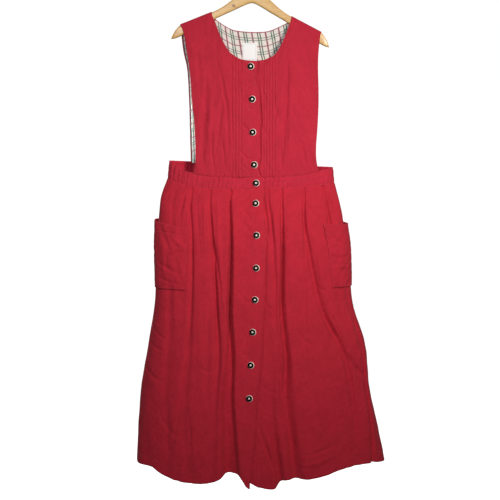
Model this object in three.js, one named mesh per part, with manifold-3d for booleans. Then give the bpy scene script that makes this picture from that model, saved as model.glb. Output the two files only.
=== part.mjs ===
// Sleeveless button-front dirndl dress hanging on a wooden coat hanger.
// Millimetres, +Z up, the front of the dress faces -Y. The origin is the seat of the hook,
// the inside top of its loop. "right" and "left" in names are the wearer's own.
import * as THREE from "three";
import { mergeVertices } from "three/addons/utils/BufferGeometryUtils.js";
import ManifoldModule from "manifold-3d";

const wasm = await ManifoldModule();
wasm.setup();
const { Manifold, Mesh: SolidMesh } = wasm;

// ---------------------------------------------------------------- driving dimensions

const CLOTH = 1.4; // thickness of the dress cloth
const LINING = 1.0; // thickness of the lining
const LABEL = 0.6; // thickness of the woven label
const SEAM = 0.3; // clearance between two pieces that are sewn together
const LAP = 0.6; // clearance between the two fronts where one lies over the other
const UNDERLAP = 40; // width of the front that runs on under the placket
const ROUNDNESS = 2.6; // exponent of the plan section of the dress
const GATHER = 1.6; // depth of the gathers of the waistband
const TUCK = 0.9; // height of a pintuck
const MITRE_LIMIT = 0.78; // keeps the inside of a sharp fold from reaching too far
const BODICE_LIFT = 1.6 * SEAM; // from the waistband's top edge up to the bodice
const LINING_GAP = SEAM + 0.05; // between the back, its lining and the label
const LINING_DROP = 6.5; // from the neckline and shoulder down to the lining
const LINING_REACH = 0.975; // share of the way to the armhole that the lining goes
const PLACKET_FOLD = -12; // the last upright fold line before the placket's edge
const NECK_CORNERS = { right: -112, left: 97.7 }; // where the neckline meets the shoulders
const BEYOND = 200; // a value of x that no column of the bodice reaches

const HANGER = {
  tilt: 3, // degrees, clockwise seen from the front
  thickness: 12,
  rounding: 5,
  bevel: 0.7, // how far its rounded edges reach in, as a share of the rounding
  outline: [
    { x: 0, top: -57.5, bottom: -108 },
    { x: 10, top: -58.5, bottom: -111 },
    { x: 16, top: -62, bottom: -113.5 },
    { x: 21, top: -72, bottom: -116 },
    { x: 32, top: -86, bottom: -121.5 },
    { x: 50, top: -101, bottom: -131 },
    { x: 75, top: -121, bottom: -143.5 },
    { x: 105, top: -138.5, bottom: -159.5 },
    { x: 150, top: -158.7, bottom: -184.8 },
    { x: 186, top: -174.9, bottom: -204.8 },
    { x: 202, top: -193, bottom: -213.2 },
    { x: 209, top: -208, bottom: -214.5 },
  ],
};
const HOOK = {
  wire: 3.8,
  loop: 22,
  shankEnd: -76,
  opening: 212,
  bore: 30, // length of the hole's cutter, which comes out of the hanger's top
  boreSpare: 0.5, // how much deeper the hole is than the hook's end
};
const RIDGE = {
  inner: 105,
  innerZ: -136,
  outer: 186,
  outerZ: -172.4,
  wrap: 6, // drop over which the cloth turns from the shoulder seam to the front or back
  overFront: 7.75, // from the middle plane to the outside of the front at the hanger
  overBack: 9.3, // the same at the back, which has its lining between
  settle: 90, // drop over which the bodice swells from the hanger to its full depth
};

// Plan sections of the skirt from the waist seam (v = 0) to the hem (v = 1).
const SKIRT_RING = [
  { v: 0.0, left: 233, right: 216, front: 40, back: 33 },
  { v: 0.06, left: 250, right: 228, front: 50, back: 38 },
  { v: 0.12, left: 256, right: 238, front: 60, back: 42 },
  { v: 0.2, left: 261, right: 250, front: 70, back: 45 },
  { v: 0.3, left: 264, right: 258, front: 79, back: 48 },
  { v: 0.43, left: 270, right: 269, front: 88, back: 52 },
  { v: 0.57, left: 287, right: 302, front: 96, back: 55 },
  { v: 0.72, left: 308, right: 315, front: 103, back: 58 },
  { v: 0.86, left: 319, right: 339, front: 107, back: 60 },
  { v: 1.0, left: 326, right: 361, front: 110, back: 62 },
];
const BAND_TOP_RING = { left: 228, right: 211, front: 38, back: 33 };
const BAND_LOW_RING = { left: 233, right: 216, front: 40, back: 33 };
const SKIRT_ROWS = [0, 0.03, 0.07, 0.12, 0.2, 0.3, 0.42, 0.55, 0.68, 0.8, 0.9, 1];

// Heights of the seams against the fraction of the way across, viewer's left to right.
const BAND_TOP = [
  { across: 0, z: -519 },
  { across: 0.05, z: -530 },
  { across: 0.1, z: -543 },
  { across: 0.16, z: -551 },
  { across: 0.22, z: -557 },
  { across: 0.3, z: -561 },
  { across: 0.54, z: -562 },
  { across: 0.77, z: -557 },
  { across: 0.87, z: -549 },
  { across: 0.96, z: -540 },
  { across: 1, z: -537 },
];
const BAND_LOW = [
  { across: 0, z: -566 },
  { across: 0.05, z: -573 },
  { across: 0.1, z: -581 },
  { across: 0.17, z: -589 },
  { across: 0.25, z: -593 },
  { across: 0.35, z: -595 },
  { across: 0.5, z: -595 },
  { across: 0.57, z: -592 },
  { across: 0.68, z: -591 },
  { across: 0.79, z: -589 },
  { across: 0.9, z: -584 },
  { across: 1, z: -579 },
];
const BACK_BAND_TOP = [{ across: 0, z: -519 }, { across: 1, z: -537 }];
const BACK_BAND_LOW = [{ across: 0, z: -566 }, { across: 1, z: -579 }];
const RIGHT_HEM = [
  { across: 0, z: -1342 },
  { across: 0.116, z: -1340 },
  { across: 0.152, z: -1355 },
  { across: 0.188, z: -1366 },
  { across: 0.233, z: -1373 },
  { across: 0.286, z: -1376 },
  { across: 0.33, z: -1372 },
  { across: 0.363, z: -1361 },
  { across: 0.38, z: -1351 },
  { across: 0.41, z: -1350 },
  { across: 0.425, z: -1354 },
  { across: 0.437, z: -1366 },
  { across: 0.449, z: -1381 },
  { across: 0.462, z: -1388 },
];
const LEFT_HEM = [
  { across: 0.44, z: -1371 },
  { across: 0.464, z: -1372 },
  { across: 0.496, z: -1383 },
  { across: 0.548, z: -1387 },
  { across: 0.571, z: -1368 },
  { across: 0.609, z: -1362 },
  { across: 0.67, z: -1361 },
  { across: 0.718, z: -1354 },
  { across: 0.79, z: -1336 },
  { across: 0.865, z: -1329 },
  { across: 1, z: -1342 },
];
const BACK_HEM = [{ across: 0, z: -1342 }, { across: 0.5, z: -1350 }, { across: 1, z: -1342 }];

// Folds of the skirt: where each runs across the front, how deep and half how wide it is,
// at the five heights of FOLD_LEVELS.
const FOLD_LEVELS = [0, 0.15, 0.4, 0.7, 1];
const RIGHT_FOLDS = [
  {
    across: [0.083, 0.119, 0.13, 0.165, 0.176],
    depth: [1, 2, 4, 6, 8],
    half: [8, 10, 14, 16, 18],
  },
  {
    across: [0.173, 0.212, 0.224, 0.228, 0.256],
    depth: [4, 7, 7, 7, 7],
    half: [5, 7, 9, 16, 18],
  },
  {
    across: [0.273, 0.308, 0.333, 0.344, 0.324],
    depth: [4, 9, 12, 6, 4],
    half: [5, 8, 10, 14, 18],
  },
  {
    across: [0.389, 0.403, 0.397, 0.411, 0.413],
    depth: [5, 14, 20, 18, 32],
    half: [5, 9, 13, 17, 22],
  },
];
const LEFT_FOLDS = [
  {
    across: [0.594, 0.6, 0.593, 0.56, 0.565],
    depth: [3, 7, 3, 2, 14],
    half: [4, 8, 7, 12, 16],
  },
  {
    across: [0.674, 0.648, 0.625, 0.612, 0.613],
    depth: [4, 10, 15, 12, 8],
    half: [4, 8, 11, 16, 20],
  },
  {
    across: [0.793, 0.756, 0.777, 0.855, 0.818],
    depth: [4, 10, 10, 8, 2],
    half: [5, 9, 16, 18, 16],
  },
  {
    across: [0.899, 0.882, 0.871, 0.896, 0.854],
    depth: [5, 8, 3, 1, 1],
    half: [5, 10, 12, 7, 8],
  },
  {
    across: [0.952, 0.942, 0.927, 0.936, 0.899],
    depth: [1, 1, 3, 7, 9],
    half: [5, 7, 10, 10, 13],
  },
];
const BACK_PLEATS = { count: 8, depth: [4, 9, 11, 12, 13], half: [5, 11, 16, 22, 26] };

// The free edge of the placket: across the skirt front, and across the bodice.
const SKIRT_PLACKET = [
  { v: 0, across: 0.568 },
  { v: 0.06, across: 0.568 },
  { v: 0.14, across: 0.567 },
  { v: 0.23, across: 0.555 },
  { v: 0.39, across: 0.54 },
  { v: 0.52, across: 0.517 },
  { v: 0.64, across: 0.504 },
  { v: 0.81, across: 0.488 },
  { v: 0.95, across: 0.467 },
  { v: 1, across: 0.462 },
];
const SKIRT_UNDERLAP = [
  { v: 0, width: UNDERLAP },
  { v: 0.6, width: UNDERLAP },
  { v: 0.8, width: 26 },
  { v: 1, width: 13 },
];
const BODICE_PLACKET = [
  { z: -562, x: 15 },
  { z: -541, x: 7 },
  { z: -512, x: 13 },
  { z: -486, x: 11 },
  { z: -444, x: 12 },
  { z: -413, x: 15 },
  { z: -382, x: 13 },
  { z: -335, x: 7 },
  { z: -304, x: 3 },
  { z: -261, x: 7 },
];

// Necklines and armhole edges of the bodice, hanging on the hanger.
const RIGHT_NECK = [
  { x: -112, z: -130.3 },
  { x: -111.2, z: -138.3 },
  { x: -109, z: -145 },
  { x: -102, z: -160 },
  { x: -88, z: -197 },
  { x: -69, z: -231 },
  { x: -53, z: -246 },
  { x: -34, z: -256 },
  { x: 7, z: -261 },
  { x: 16, z: -261 },
];
const LEFT_NECK = [
  { x: -38, z: -262 },
  { x: 7, z: -261 },
  { x: 38, z: -253 },
  { x: 54, z: -243 },
  { x: 70, z: -219 },
  { x: 83, z: -188 },
  { x: 91.4, z: -166 },
  { x: 95.8, z: -155 },
  { x: 97.1, z: -149.3 },
  { x: 97.7, z: -141.3 },
];
const BACK_NECK = [
  { x: -112, z: -130.3 },
  { x: -111.2, z: -138.3 },
  { x: -108, z: -143 },
  { x: -100, z: -150 },
  { x: -83, z: -162 },
  { x: -57, z: -175 },
  { x: -25, z: -180 },
  { x: 7, z: -181 },
  { x: 39, z: -178 },
  { x: 68, z: -167 },
  { x: 88, z: -157 },
  { x: 95, z: -152 },
  { x: 97.1, z: -149.3 },
  { x: 97.7, z: -141.3 },
];
const RIGHT_ARMHOLE = [
  { z: -553, x: -161 },
  { z: -520, x: -155 },
  { z: -470, x: -155 },
  { z: -412, x: -158 },
  { z: -360, x: -164 },
  { z: -309, x: -167 },
  { z: -265, x: -172 },
  { z: -183, x: -186 },
  { z: -162.4, x: -194.8 },
];
const LEFT_ARMHOLE = [
  { z: -547, x: 170 },
  { z: -517, x: 164 },
  { z: -486, x: 163 },
  { z: -423, x: 167 },
  { z: -360, x: 169 },
  { z: -260, x: 167 },
  { z: -190, x: 173 },
  { z: -181.9, x: 176.7 },
];
const BACK_RIGHT_ARMHOLE = [
  { z: -521, x: -171 },
  { z: -469, x: -172 },
  { z: -360, x: -174 },
  { z: -279, x: -178 },
  { z: -227, x: -188 },
  { z: -162.4, x: -194.8 },
];
const BACK_LEFT_ARMHOLE = [
  { z: -540, x: 160 },
  { z: -486, x: 157 },
  { z: -360, x: 160 },
  { z: -260, x: 164 },
  { z: -181.9, x: 176.7 },
];
const FRONT_DEPTH = [
  { z: -562, depth: 38 },
  { z: -460, depth: 33 },
  { z: -360, depth: 29 },
  { z: -260, depth: 25 },
  { z: -200, depth: 21 },
  { z: -150, depth: 16 },
];
const BACK_DEPTH = [
  { z: -530, depth: 33 },
  { z: -360, depth: 24 },
  { z: -200, depth: 15 },
  { z: -150, depth: 12 },
];
const BODICE_ROWS = [0.03, 0.08, 0.15, 0.25, 0.38, 0.52, 0.68, 0.84, 1];
const RIGHT_TUCKS = { from: -59, step: 4, count: 4 };
const LEFT_TUCKS = { from: 23.5, step: 3.65, count: 5 };

// Columns of a strap as shares of the way to the armhole edge, from the armhole inwards.
// "corner" is the share of the neck corner and "next" the one after it; a few columns lie
// close together between them where the neckline turns over the hanger.
const RIGHT_STRAP = { shoulder: [1, 0.85, 0.69, 0.54], corner: 0.39, next: 0.317,
  neck: [0.234, 0.155, 0.085] };
const LEFT_STRAP = { shoulder: [1, 0.83, 0.66, 0.49], corner: 0.323, next: 0.27,
  neck: [0.202, 0.09] };
const BACK_RIGHT_STRAP = { shoulder: [1, 0.86, 0.72], corner: 0.575, next: 0.518,
  neck: [0.43, 0.298, 0.13] };
const BACK_LEFT_STRAP = { shoulder: [1, 0.85, 0.7], corner: 0.553, next: 0.498,
  neck: [0.382, 0.219, 0.04] };
const CORNER_COLUMNS = [
  { high: 0.012, low: 0.25 },
  { high: 0.036, low: 0.5 },
  { high: 0.08, low: 0.75 },
];

const WAISTBAND = { rows: [0, 0.5, 1], frontGathers: 20, backGathers: 44, stitchDip: 0.8 };

// Patch pockets that wrap round the side seams; "front" is the sewn front edge.
const POCKET_ROWS = [0, 0.14, 0.32, 0.55, 0.78, 1];
const POCKET_SHARES = {
  front: [0, 0.25, 0.5, 0.68, 0.8, 0.9, 1],
  back: [0.12, 0.26, 0.43, 0.68, 1],
};
const POCKET_EASE = 1.3; // how far a pocket stands off the skirt between its sewn edges
const POCKET_CLEAR = SEAM + 0.1; // clearance under its sewn edges
const POCKET_FRONT = 0.62; // share of its width in front of the side seam
const POCKET_GAPE = 8; // how far its mouth stands open
const POCKET_BELLY = 3; // how far its middle stands off
const RIGHT_POCKET = {
  front: 0.2,
  topFront: -697,
  topSide: -676,
  topBack: -672,
  low: -858,
  backWidth: 62,
};
const LEFT_POCKET = {
  front: 0.85,
  topFront: -687,
  topSide: -686,
  topBack: -680,
  low: -853,
  backWidth: 62,
};

const BUTTON = { radius: 9, segments: 16 };
const BUTTONS = [
  { x: -9, z: -274 },
  { x: -5, z: -359 },
  { x: -4, z: -445 },
  { x: 0, z: -530 },
  { x: 5, z: -578 },
  { x: 4, z: -631 },
  { x: 6, z: -714 },
  { x: 5, z: -799 },
  { x: 2, z: -882 },
  { x: -4, z: -967 },
  { x: -9, z: -1054 },
  { x: -13, z: -1142 },
];
const LABEL_PLACE = { left: -31, right: 7, top: -209, low: -255 };

// ---------------------------------------------------------------- finishes

function finish(color, roughness, metalness = 0) {
  return { color, roughness, metalness };
}

const RED_COTTON = finish(0xb52b38, 0.85);
const RED_SKIRT = finish(0xa8242f, 0.85);
const PLAID_COTTON = finish(0xd9cdb8, 0.9);
const WOVEN_WHITE = finish(0xf2efe8, 0.8);
const BEECH = finish(0xd8b070, 0.5);
const STEEL = finish(0xb8babd, 0.25, 1);
const HORN = finish(0x4a2c20, 0.35);

// ---------------------------------------------------------------- tables

// Reads a table of rows at a value of its first column, with a smooth curve through them.
function readCurve(keys, values, at) {
  const last = keys.length - 1;
  const rising = keys[last] > keys[0] ? 1 : -1;
  const place = Math.min(Math.max(at * rising, keys[0] * rising), keys[last] * rising);
  let k = 0;
  while (k < last - 1 && place > keys[k + 1] * rising) {
    k += 1;
  }
  const span = keys[k + 1] - keys[k];
  const t = (place * rising - keys[k]) / span;
  const slope = (n) => {
    const low = Math.max(n - 1, 0);
    const high = Math.min(n + 1, last);
    return (values[high] - values[low]) / (keys[high] - keys[low]);
  };
  const a = slope(k) * span;
  const b = slope(k + 1) * span;
  const rise = values[k + 1] - values[k];
  return values[k] + t * (a + t * (3 * rise - 2 * a - b + t * (a + b - 2 * rise)));
}

function readTable(table, key, column, at) {
  return readCurve(table.map((row) => row[key]), table.map((row) => row[column]), at);
}

function mix(a, b, t) {
  return a + (b - a) * t;
}

function ease(t) {
  const s = Math.min(Math.max(t, 0), 1);
  return s * s * (3 - 2 * s);
}

// ---------------------------------------------------------------- plan sections

// One half of a closed plan section, front or back, from the viewer's left to the right,
// with the running length along it. Its normal points outwards.
function halfRing(size, facing) {
  const count = 120;
  const middle = (size.right - size.left) / 2;
  const half = (size.right + size.left) / 2;
  const depth = facing > 0 ? size.front : size.back;
  const points = [];
  let length = 0;
  for (let k = 0; k <= count; k += 1) {
    const turn = (Math.PI * k) / count;
    const u = -Math.sign(Math.cos(turn)) * Math.abs(Math.cos(turn)) ** (2 / ROUNDNESS);
    const w = Math.sin(turn) ** (2 / ROUNDNESS);
    const x = middle + half * u;
    const y = -facing * depth * w;
    const nx = (Math.sign(u) * Math.abs(u) ** (ROUNDNESS - 1)) / half;
    const ny = (-facing * w ** (ROUNDNESS - 1)) / depth;
    const size2 = Math.hypot(nx, ny);
    const before = points[k - 1];
    length += before ? Math.hypot(x - before.x, y - before.y) : 0;
    points.push({ x, y, nx: nx / size2, ny: ny / size2, length });
  }
  return { points, length };
}

// The point of a half section at a running length, moved inwards by a depth.
function ringPoint(ring, length, inward = 0) {
  const { points } = ring;
  let k = 1;
  while (k < points.length - 1 && points[k].length < length) {
    k += 1;
  }
  const a = points[k - 1];
  const b = points[k];
  const t = (length - a.length) / (b.length - a.length);
  const nx = mix(a.nx, b.nx, t);
  const ny = mix(a.ny, b.ny, t);
  return { x: mix(a.x, b.x, t) - nx * inward, y: mix(a.y, b.y, t) - ny * inward };
}

// How far across a half section a value of x lies, from 0 to 1.
function acrossAt(ring, x) {
  const { points } = ring;
  let k = 1;
  while (k < points.length - 1 && points[k].x < x) {
    k += 1;
  }
  const a = points[k - 1];
  const b = points[k];
  const t = (x - a.x) / (b.x - a.x);
  return Math.min(Math.max(mix(a.length, b.length, t) / ring.length, 0), 1);
}

function skirtRing(v, facing) {
  const size = {};
  for (const column of ["left", "right", "front", "back"]) {
    size[column] = readTable(SKIRT_RING, "v", column, v);
  }
  return halfRing(size, facing);
}

function bandRing(w, facing) {
  const size = {};
  for (const column of ["left", "right", "front", "back"]) {
    size[column] = mix(BAND_TOP_RING[column], BAND_LOW_RING[column], w);
  }
  return halfRing(size, facing);
}

// ---------------------------------------------------------------- cloth walls

// Moves a grid of points inwards. Flat grids move in plan only, so their seams stay level;
// the others move along their own normals. "ridge" names the columns that bend over the
// hanger at their top, and "square" the ends that meet another panel at a side seam.
function moveIn(rows, facing, distance, { flat = false, ridge = () => false, square = [] } = {}) {
  const lastRow = rows.length - 1;
  return rows.map((row, j) =>
    row.map((point, i) => {
      const left = row[Math.max(i - 1, 0)];
      const right = row[Math.min(i + 1, row.length - 1)];
      const atEnd = i === 0 ? square[0] : i === row.length - 1 && square[1];
      if (atEnd) {
        return point.clone().add(new THREE.Vector3(i === 0 ? distance : -distance, 0, 0));
      }
      if (flat) {
        return moveInPlan(point, left, right, facing, distance);
      }
      const along = new THREE.Vector3().subVectors(right, left);
      const down = ridge(i) && j === 0
        ? new THREE.Vector3(0, -facing, 0)
        : new THREE.Vector3().subVectors(
            rows[Math.min(j + 1, lastRow)][i],
            rows[Math.max(j - 1, 0)][i],
          );
      const normal = new THREE.Vector3().crossVectors(down, along).normalize();
      return point.clone().addScaledVector(normal, -facing * distance);
    }),
  );
}

function moveInPlan(point, left, right, facing, distance) {
  const before = new THREE.Vector2(point.x - left.x, point.y - left.y);
  const after = new THREE.Vector2(right.x - point.x, right.y - point.y);
  if (before.length() === 0) {
    before.copy(after);
  }
  if (after.length() === 0) {
    after.copy(before);
  }
  before.normalize();
  after.normalize();
  const tangent = before.clone().add(after).normalize();
  const reach = distance / Math.max(tangent.dot(before), MITRE_LIMIT);
  return new THREE.Vector3(
    point.x - facing * tangent.y * reach,
    point.y + facing * tangent.x * reach,
    point.z,
  );
}

// A closed cloth wall from its outer grid: rows run down, columns run to the viewer's right.
function clothWall(name, look, outer, facing, thickness, options) {
  const inner = moveIn(outer, facing, thickness, options);
  const rowCount = outer.length;
  const columnCount = outer[0].length;
  const layer = rowCount * columnCount;
  const positions = [];
  for (const point of [...outer.flat(), ...inner.flat()]) {
    positions.push(point.x, point.y, point.z);
  }
  const triangles = [];
  const quad = (a, b, c, d) => {
    const ring = facing > 0 ? [a, b, c, d] : [d, c, b, a];
    triangles.push(ring[0], ring[1], ring[2], ring[0], ring[2], ring[3]);
  };
  const at = (j, i) => j * columnCount + i;
  for (let j = 0; j < rowCount - 1; j += 1) {
    for (let i = 0; i < columnCount - 1; i += 1) {
      const corners = [at(j, i), at(j + 1, i), at(j + 1, i + 1), at(j, i + 1)];
      const falling = outer[j][i].distanceTo(outer[j + 1][i + 1]);
      const turned = outer[j + 1][i].distanceTo(outer[j][i + 1]) < falling;
      const [a, b, c, d] = turned ? [corners[1], corners[2], corners[3], corners[0]] : corners;
      quad(a, b, c, d);
      quad(c + layer, b + layer, a + layer, d + layer);
    }
  }
  const low = rowCount - 1;
  const end = columnCount - 1;
  for (let i = 0; i < end; i += 1) {
    quad(at(0, i), at(0, i + 1), at(0, i + 1) + layer, at(0, i) + layer);
    quad(at(low, i + 1), at(low, i), at(low, i) + layer, at(low, i + 1) + layer);
  }
  for (let j = 0; j < low; j += 1) {
    quad(at(j + 1, 0), at(j, 0), at(j, 0) + layer, at(j + 1, 0) + layer);
    quad(at(j, end), at(j + 1, end), at(j + 1, end) + layer, at(j, end) + layer);
  }
  const geometry = new THREE.BufferGeometry();
  geometry.setAttribute("position", new THREE.Float32BufferAttribute(positions, 3));
  geometry.setIndex(triangles);
  return partMesh(name, geometry, look);
}

function partMesh(name, geometry, look) {
  geometry.computeVertexNormals();
  const mesh = new THREE.Mesh(geometry, new THREE.MeshStandardMaterial(look));
  mesh.name = name;
  return mesh;
}

// ---------------------------------------------------------------- skirt

function bump(t) {
  return Math.abs(t) < 1 ? Math.cos((Math.PI * t) / 2) ** 2 : 0;
}

// The folds of one panel at a height, as running lengths along its half section.
function foldsAt(folds, v, length) {
  return folds.map((fold) => ({
    center: readCurve(FOLD_LEVELS, fold.across, v) * length,
    depth: readCurve(FOLD_LEVELS, fold.depth, v),
    half: readCurve(FOLD_LEVELS, fold.half, v),
  }));
}

// Running lengths of the columns: a few in each fold, the rest even in the hills between.
function columnPlaces(start, end, folds, hillColumns, foldSteps) {
  const places = [];
  let from = start;
  folds.forEach((fold, n) => {
    for (let k = 0; k < hillColumns[n]; k += 1) {
      places.push(mix(from, fold.center - fold.half, k / hillColumns[n]));
    }
    for (const t of foldSteps) {
      places.push(fold.center + t * fold.half);
    }
    from = fold.center + fold.half;
  });
  const tail = hillColumns[folds.length];
  for (let k = 1; k <= tail; k += 1) {
    places.push(mix(from, end, k / tail));
  }
  return places;
}

function foldDepth(folds, place) {
  return folds.reduce((sum, fold) => sum + fold.depth * bump((place - fold.center) / fold.half), 0);
}

// The outer grid of one skirt panel. "edges" gives its first and last running length, and
// "lap" how far a place is pushed in under the placket.
function skirtGrid(panel) {
  const { folds, facing, hem, waist, hillColumns, foldSteps } = panel;
  return SKIRT_ROWS.map((v) => {
    const ring = skirtRing(v, facing);
    const levels = foldsAt(folds, v, ring.length);
    const { start, end, fixed = [], lap = () => 0 } = panel.edges(v, ring.length);
    const places = [
      ...fixed,
      ...columnPlaces(start, end, levels, hillColumns, foldSteps),
    ];
    return places.map((place) => {
      const { x, y } = ringPoint(ring, place, foldDepth(levels, place) + lap(place));
      const across = place / ring.length;
      const top = readTable(waist, "across", "z", across) - SEAM;
      return new THREE.Vector3(x, y, mix(top, readTable(hem, "across", "z", across), v));
    });
  });
}

const FINE_STEPS = [-1, -0.6, -0.3, 0, 0.3, 0.6, 1];
const COARSE_STEPS = [-1, -0.5, 0, 0.5, 1];

function placketPlace(v, length) {
  return readTable(SKIRT_PLACKET, "v", "across", v) * length;
}

const RIGHT_PANEL = {
  folds: RIGHT_FOLDS,
  facing: 1,
  hem: RIGHT_HEM,
  waist: BAND_LOW,
  hillColumns: [3, 2, 2, 1, 2],
  foldSteps: FINE_STEPS,
  square: [true, false],
  edges: (v, length) => ({ start: SEAM / 2, end: placketPlace(v, length) }),
};

const LEFT_PANEL = {
  folds: LEFT_FOLDS,
  facing: 1,
  hem: LEFT_HEM,
  waist: BAND_LOW,
  hillColumns: [1, 1, 2, 1, 1, 3],
  foldSteps: FINE_STEPS,
  square: [false, true],
  edges: (v, length) => {
    const edge = placketPlace(v, length);
    const under = readTable(SKIRT_UNDERLAP, "v", "width", v);
    return {
      start: edge + 6,
      end: length - SEAM / 2,
      fixed: [edge - under, edge - under / 2, edge + 1],
      lap: (place) => (CLOTH + LAP) * (1 - ease((place - edge - 1) / 5)),
    };
  },
};

function backFolds() {
  const folds = [];
  for (let k = 0; k < BACK_PLEATS.count; k += 1) {
    const across = (k + 0.5) / BACK_PLEATS.count + 0.008 * Math.sin(k * 2.3);
    folds.push({
      across: [across, across, across + 0.006 * Math.sin(k * 1.7), across, across],
      depth: BACK_PLEATS.depth.map((depth) => depth * (1 + 0.2 * Math.sin(k * 3.1))),
      half: BACK_PLEATS.half,
    });
  }
  return folds;
}

const BACK_PANEL = {
  folds: backFolds(),
  facing: -1,
  hem: BACK_HEM,
  waist: BACK_BAND_LOW,
  hillColumns: [2, 1, 1, 1, 1, 1, 1, 1, 2],
  foldSteps: COARSE_STEPS,
  square: [true, true],
  edges: (v, length) => ({ start: SEAM / 2, end: length - SEAM / 2 }),
};

function skirtPanel(name, panel) {
  const options = { flat: true, square: panel.square };
  return clothWall(name, RED_SKIRT, skirtGrid(panel), panel.facing, CLOTH, options);
}

// ---------------------------------------------------------------- waistband

// The outer grid of a piece of the gathered band: flat at its lead and tail, and gathered
// between them.
function bandGrid({ lead, tail, gathered, gathers, facing, top, low, lap = () => 0 }) {
  return WAISTBAND.rows.map((w) => {
    const ring = bandRing(w, facing);
    const first = lead(ring);
    const places = [...first];
    for (let k = 0; k <= gathers * 2; k += 1) {
      places.push(mix(gathered[0], gathered[1], k / (gathers * 2)) * ring.length);
    }
    places.push(...tail(ring));
    const dip = w > 0 && w < 1 ? WAISTBAND.stitchDip : 0;
    return places.map((place, i) => {
      const valley = isValley(i - first.length, gathers * 2) ? GATHER : 0;
      const { x, y } = ringPoint(ring, place, dip + valley + lap(place, ring));
      const across = place / ring.length;
      const high = readTable(top, "across", "z", across);
      return new THREE.Vector3(x, y, mix(high, readTable(low, "across", "z", across), w));
    });
  });
}

function isValley(place, count) {
  return place > 0 && place < count && place % 2 === 1;
}

// ---------------------------------------------------------------- bodice

function tilted(x, z) {
  const turn = THREE.MathUtils.degToRad(HANGER.tilt);
  return {
    x: x * Math.cos(turn) + z * Math.sin(turn),
    z: z * Math.cos(turn) - x * Math.sin(turn),
  };
}

// Height of the outside of the cloth where it lies over the top of the hanger.
function ridgeHeight(x) {
  const side = x < -8 ? -1 : 1;
  const inner = tilted(side * RIDGE.inner, RIDGE.innerZ);
  const outer = tilted(side * RIDGE.outer, RIDGE.outerZ);
  return inner.z + ((x - inner.x) * (outer.z - inner.z)) / (outer.x - inner.x);
}

// Distance of the outside of the bodice from the middle plane, to the front or the back.
function bodiceDepth(x, z, facing) {
  const middle = (BAND_TOP_RING.right - BAND_TOP_RING.left) / 2;
  const half = (BAND_TOP_RING.right + BAND_TOP_RING.left) / 2;
  const u = Math.min(Math.abs((x - middle) / half), 1);
  const shape = (1 - u ** ROUNDNESS) ** (1 / ROUNDNESS);
  const table = facing > 0 ? FRONT_DEPTH : BACK_DEPTH;
  const full = readTable(table, "z", "depth", z) * shape;
  const drop = Math.max(ridgeHeight(x) - z, 0);
  const wrap = drop < RIDGE.wrap ? Math.sqrt(1 - (1 - drop / RIDGE.wrap) ** 2) : 1;
  const over = facing > 0 ? RIDGE.overFront : RIDGE.overBack;
  const start = SEAM / 2 + over * wrap;
  return start + Math.max(full - over - SEAM / 2, 0) * ease(drop / RIDGE.settle);
}

// The height at which a column meets the neckline or the shoulder.
function columnTop(column, neck, corners) {
  let z = -200;
  for (let k = 0; k < 40; k += 1) {
    const x = column(z);
    const onShoulder = x < corners.low || x > corners.high;
    z = onShoulder ? ridgeHeight(x) : readTable(neck, "x", "z", x);
  }
  return z;
}

// The height at which a column meets the waist seam.
function columnFoot(column, head, seamZ) {
  let z = head;
  for (let k = 0; k < 8; k += 1) {
    z = seamZ(column(z));
  }
  return z;
}

// The outer grid of a bodice piece: every column is a function from height to x.
function bodiceGrid({ columns, neck, corners, facing, seamZ, inset = 0, push = () => 0 }) {
  const first = RIDGE.wrap;
  const starts = inset > 0 ? [inset] : [0, 0.46, 1.76, 3.7, first];
  const heads = columns.map((column) => columnTop(column, neck, corners));
  const feet = columns.map((column, i) => columnFoot(column, heads[i], seamZ));
  const pointAt = (i, z) => {
    const x = columns[i](z);
    return new THREE.Vector3(x, -facing * (bodiceDepth(x, z, facing) + push(i, x, z)), z);
  };
  const rows = starts.map((drop) => columns.map((_, i) => pointAt(i, heads[i] - drop)));
  const from = starts[starts.length - 1];
  for (const r of BODICE_ROWS) {
    rows.push(columns.map((_, i) => pointAt(i, mix(heads[i] - from, feet[i], r))));
  }
  return rows;
}

// A column at a share of the way to the armhole edge: "high" near the shoulder, "low" below.
function armholeColumn(table, from, high, low = high) {
  return (z) => {
    const share = mix(low, high, ease((z + 210) / 65));
    return mix(from, readTable(table, "z", "x", z), share);
  };
}

// The columns of a strap, from the armhole inwards.
function strapColumns(strap, table, from, { fine = true, reach = 1 } = {}) {
  const { shoulder, corner, next, neck } = strap;
  const column = (high, low) => armholeColumn(table, from, high * reach, low * reach);
  const between = fine ? CORNER_COLUMNS : [];
  return [
    ...[...shoulder, corner].map((share) => column(share, share)),
    ...between.map(({ high, low }) => column(mix(corner, next, high), mix(corner, next, low))),
    ...[next, ...neck].map((share) => column(share, share)),
  ];
}

function placketX(z) {
  return readTable(BODICE_PLACKET, "z", "x", z);
}

// Heights of the bodice seams, just above the waistband.
function bodiceSeam(facing, table) {
  const ring = bandRing(0, facing);
  return (x) => readTable(table, "across", "z", acrossAt(ring, x)) + BODICE_LIFT;
}

function tuckColumns({ from, step, count }) {
  return Array.from({ length: count * 2 + 1 }, (_, k) => () => from + k * step);
}

function rightBodiceGrid() {
  const strap = strapColumns(RIGHT_STRAP, RIGHT_ARMHOLE, RIGHT_TUCKS.from);
  const tucks = tuckColumns(RIGHT_TUCKS);
  return bodiceGrid({
    columns: [...strap, ...tucks, () => PLACKET_FOLD, placketX],
    neck: RIGHT_NECK,
    corners: { low: NECK_CORNERS.right, high: BEYOND },
    facing: 1,
    seamZ: bodiceSeam(1, BAND_TOP),
    push: (i) => (isValley(i - strap.length, tucks.length) ? TUCK : 0),
  });
}

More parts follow.
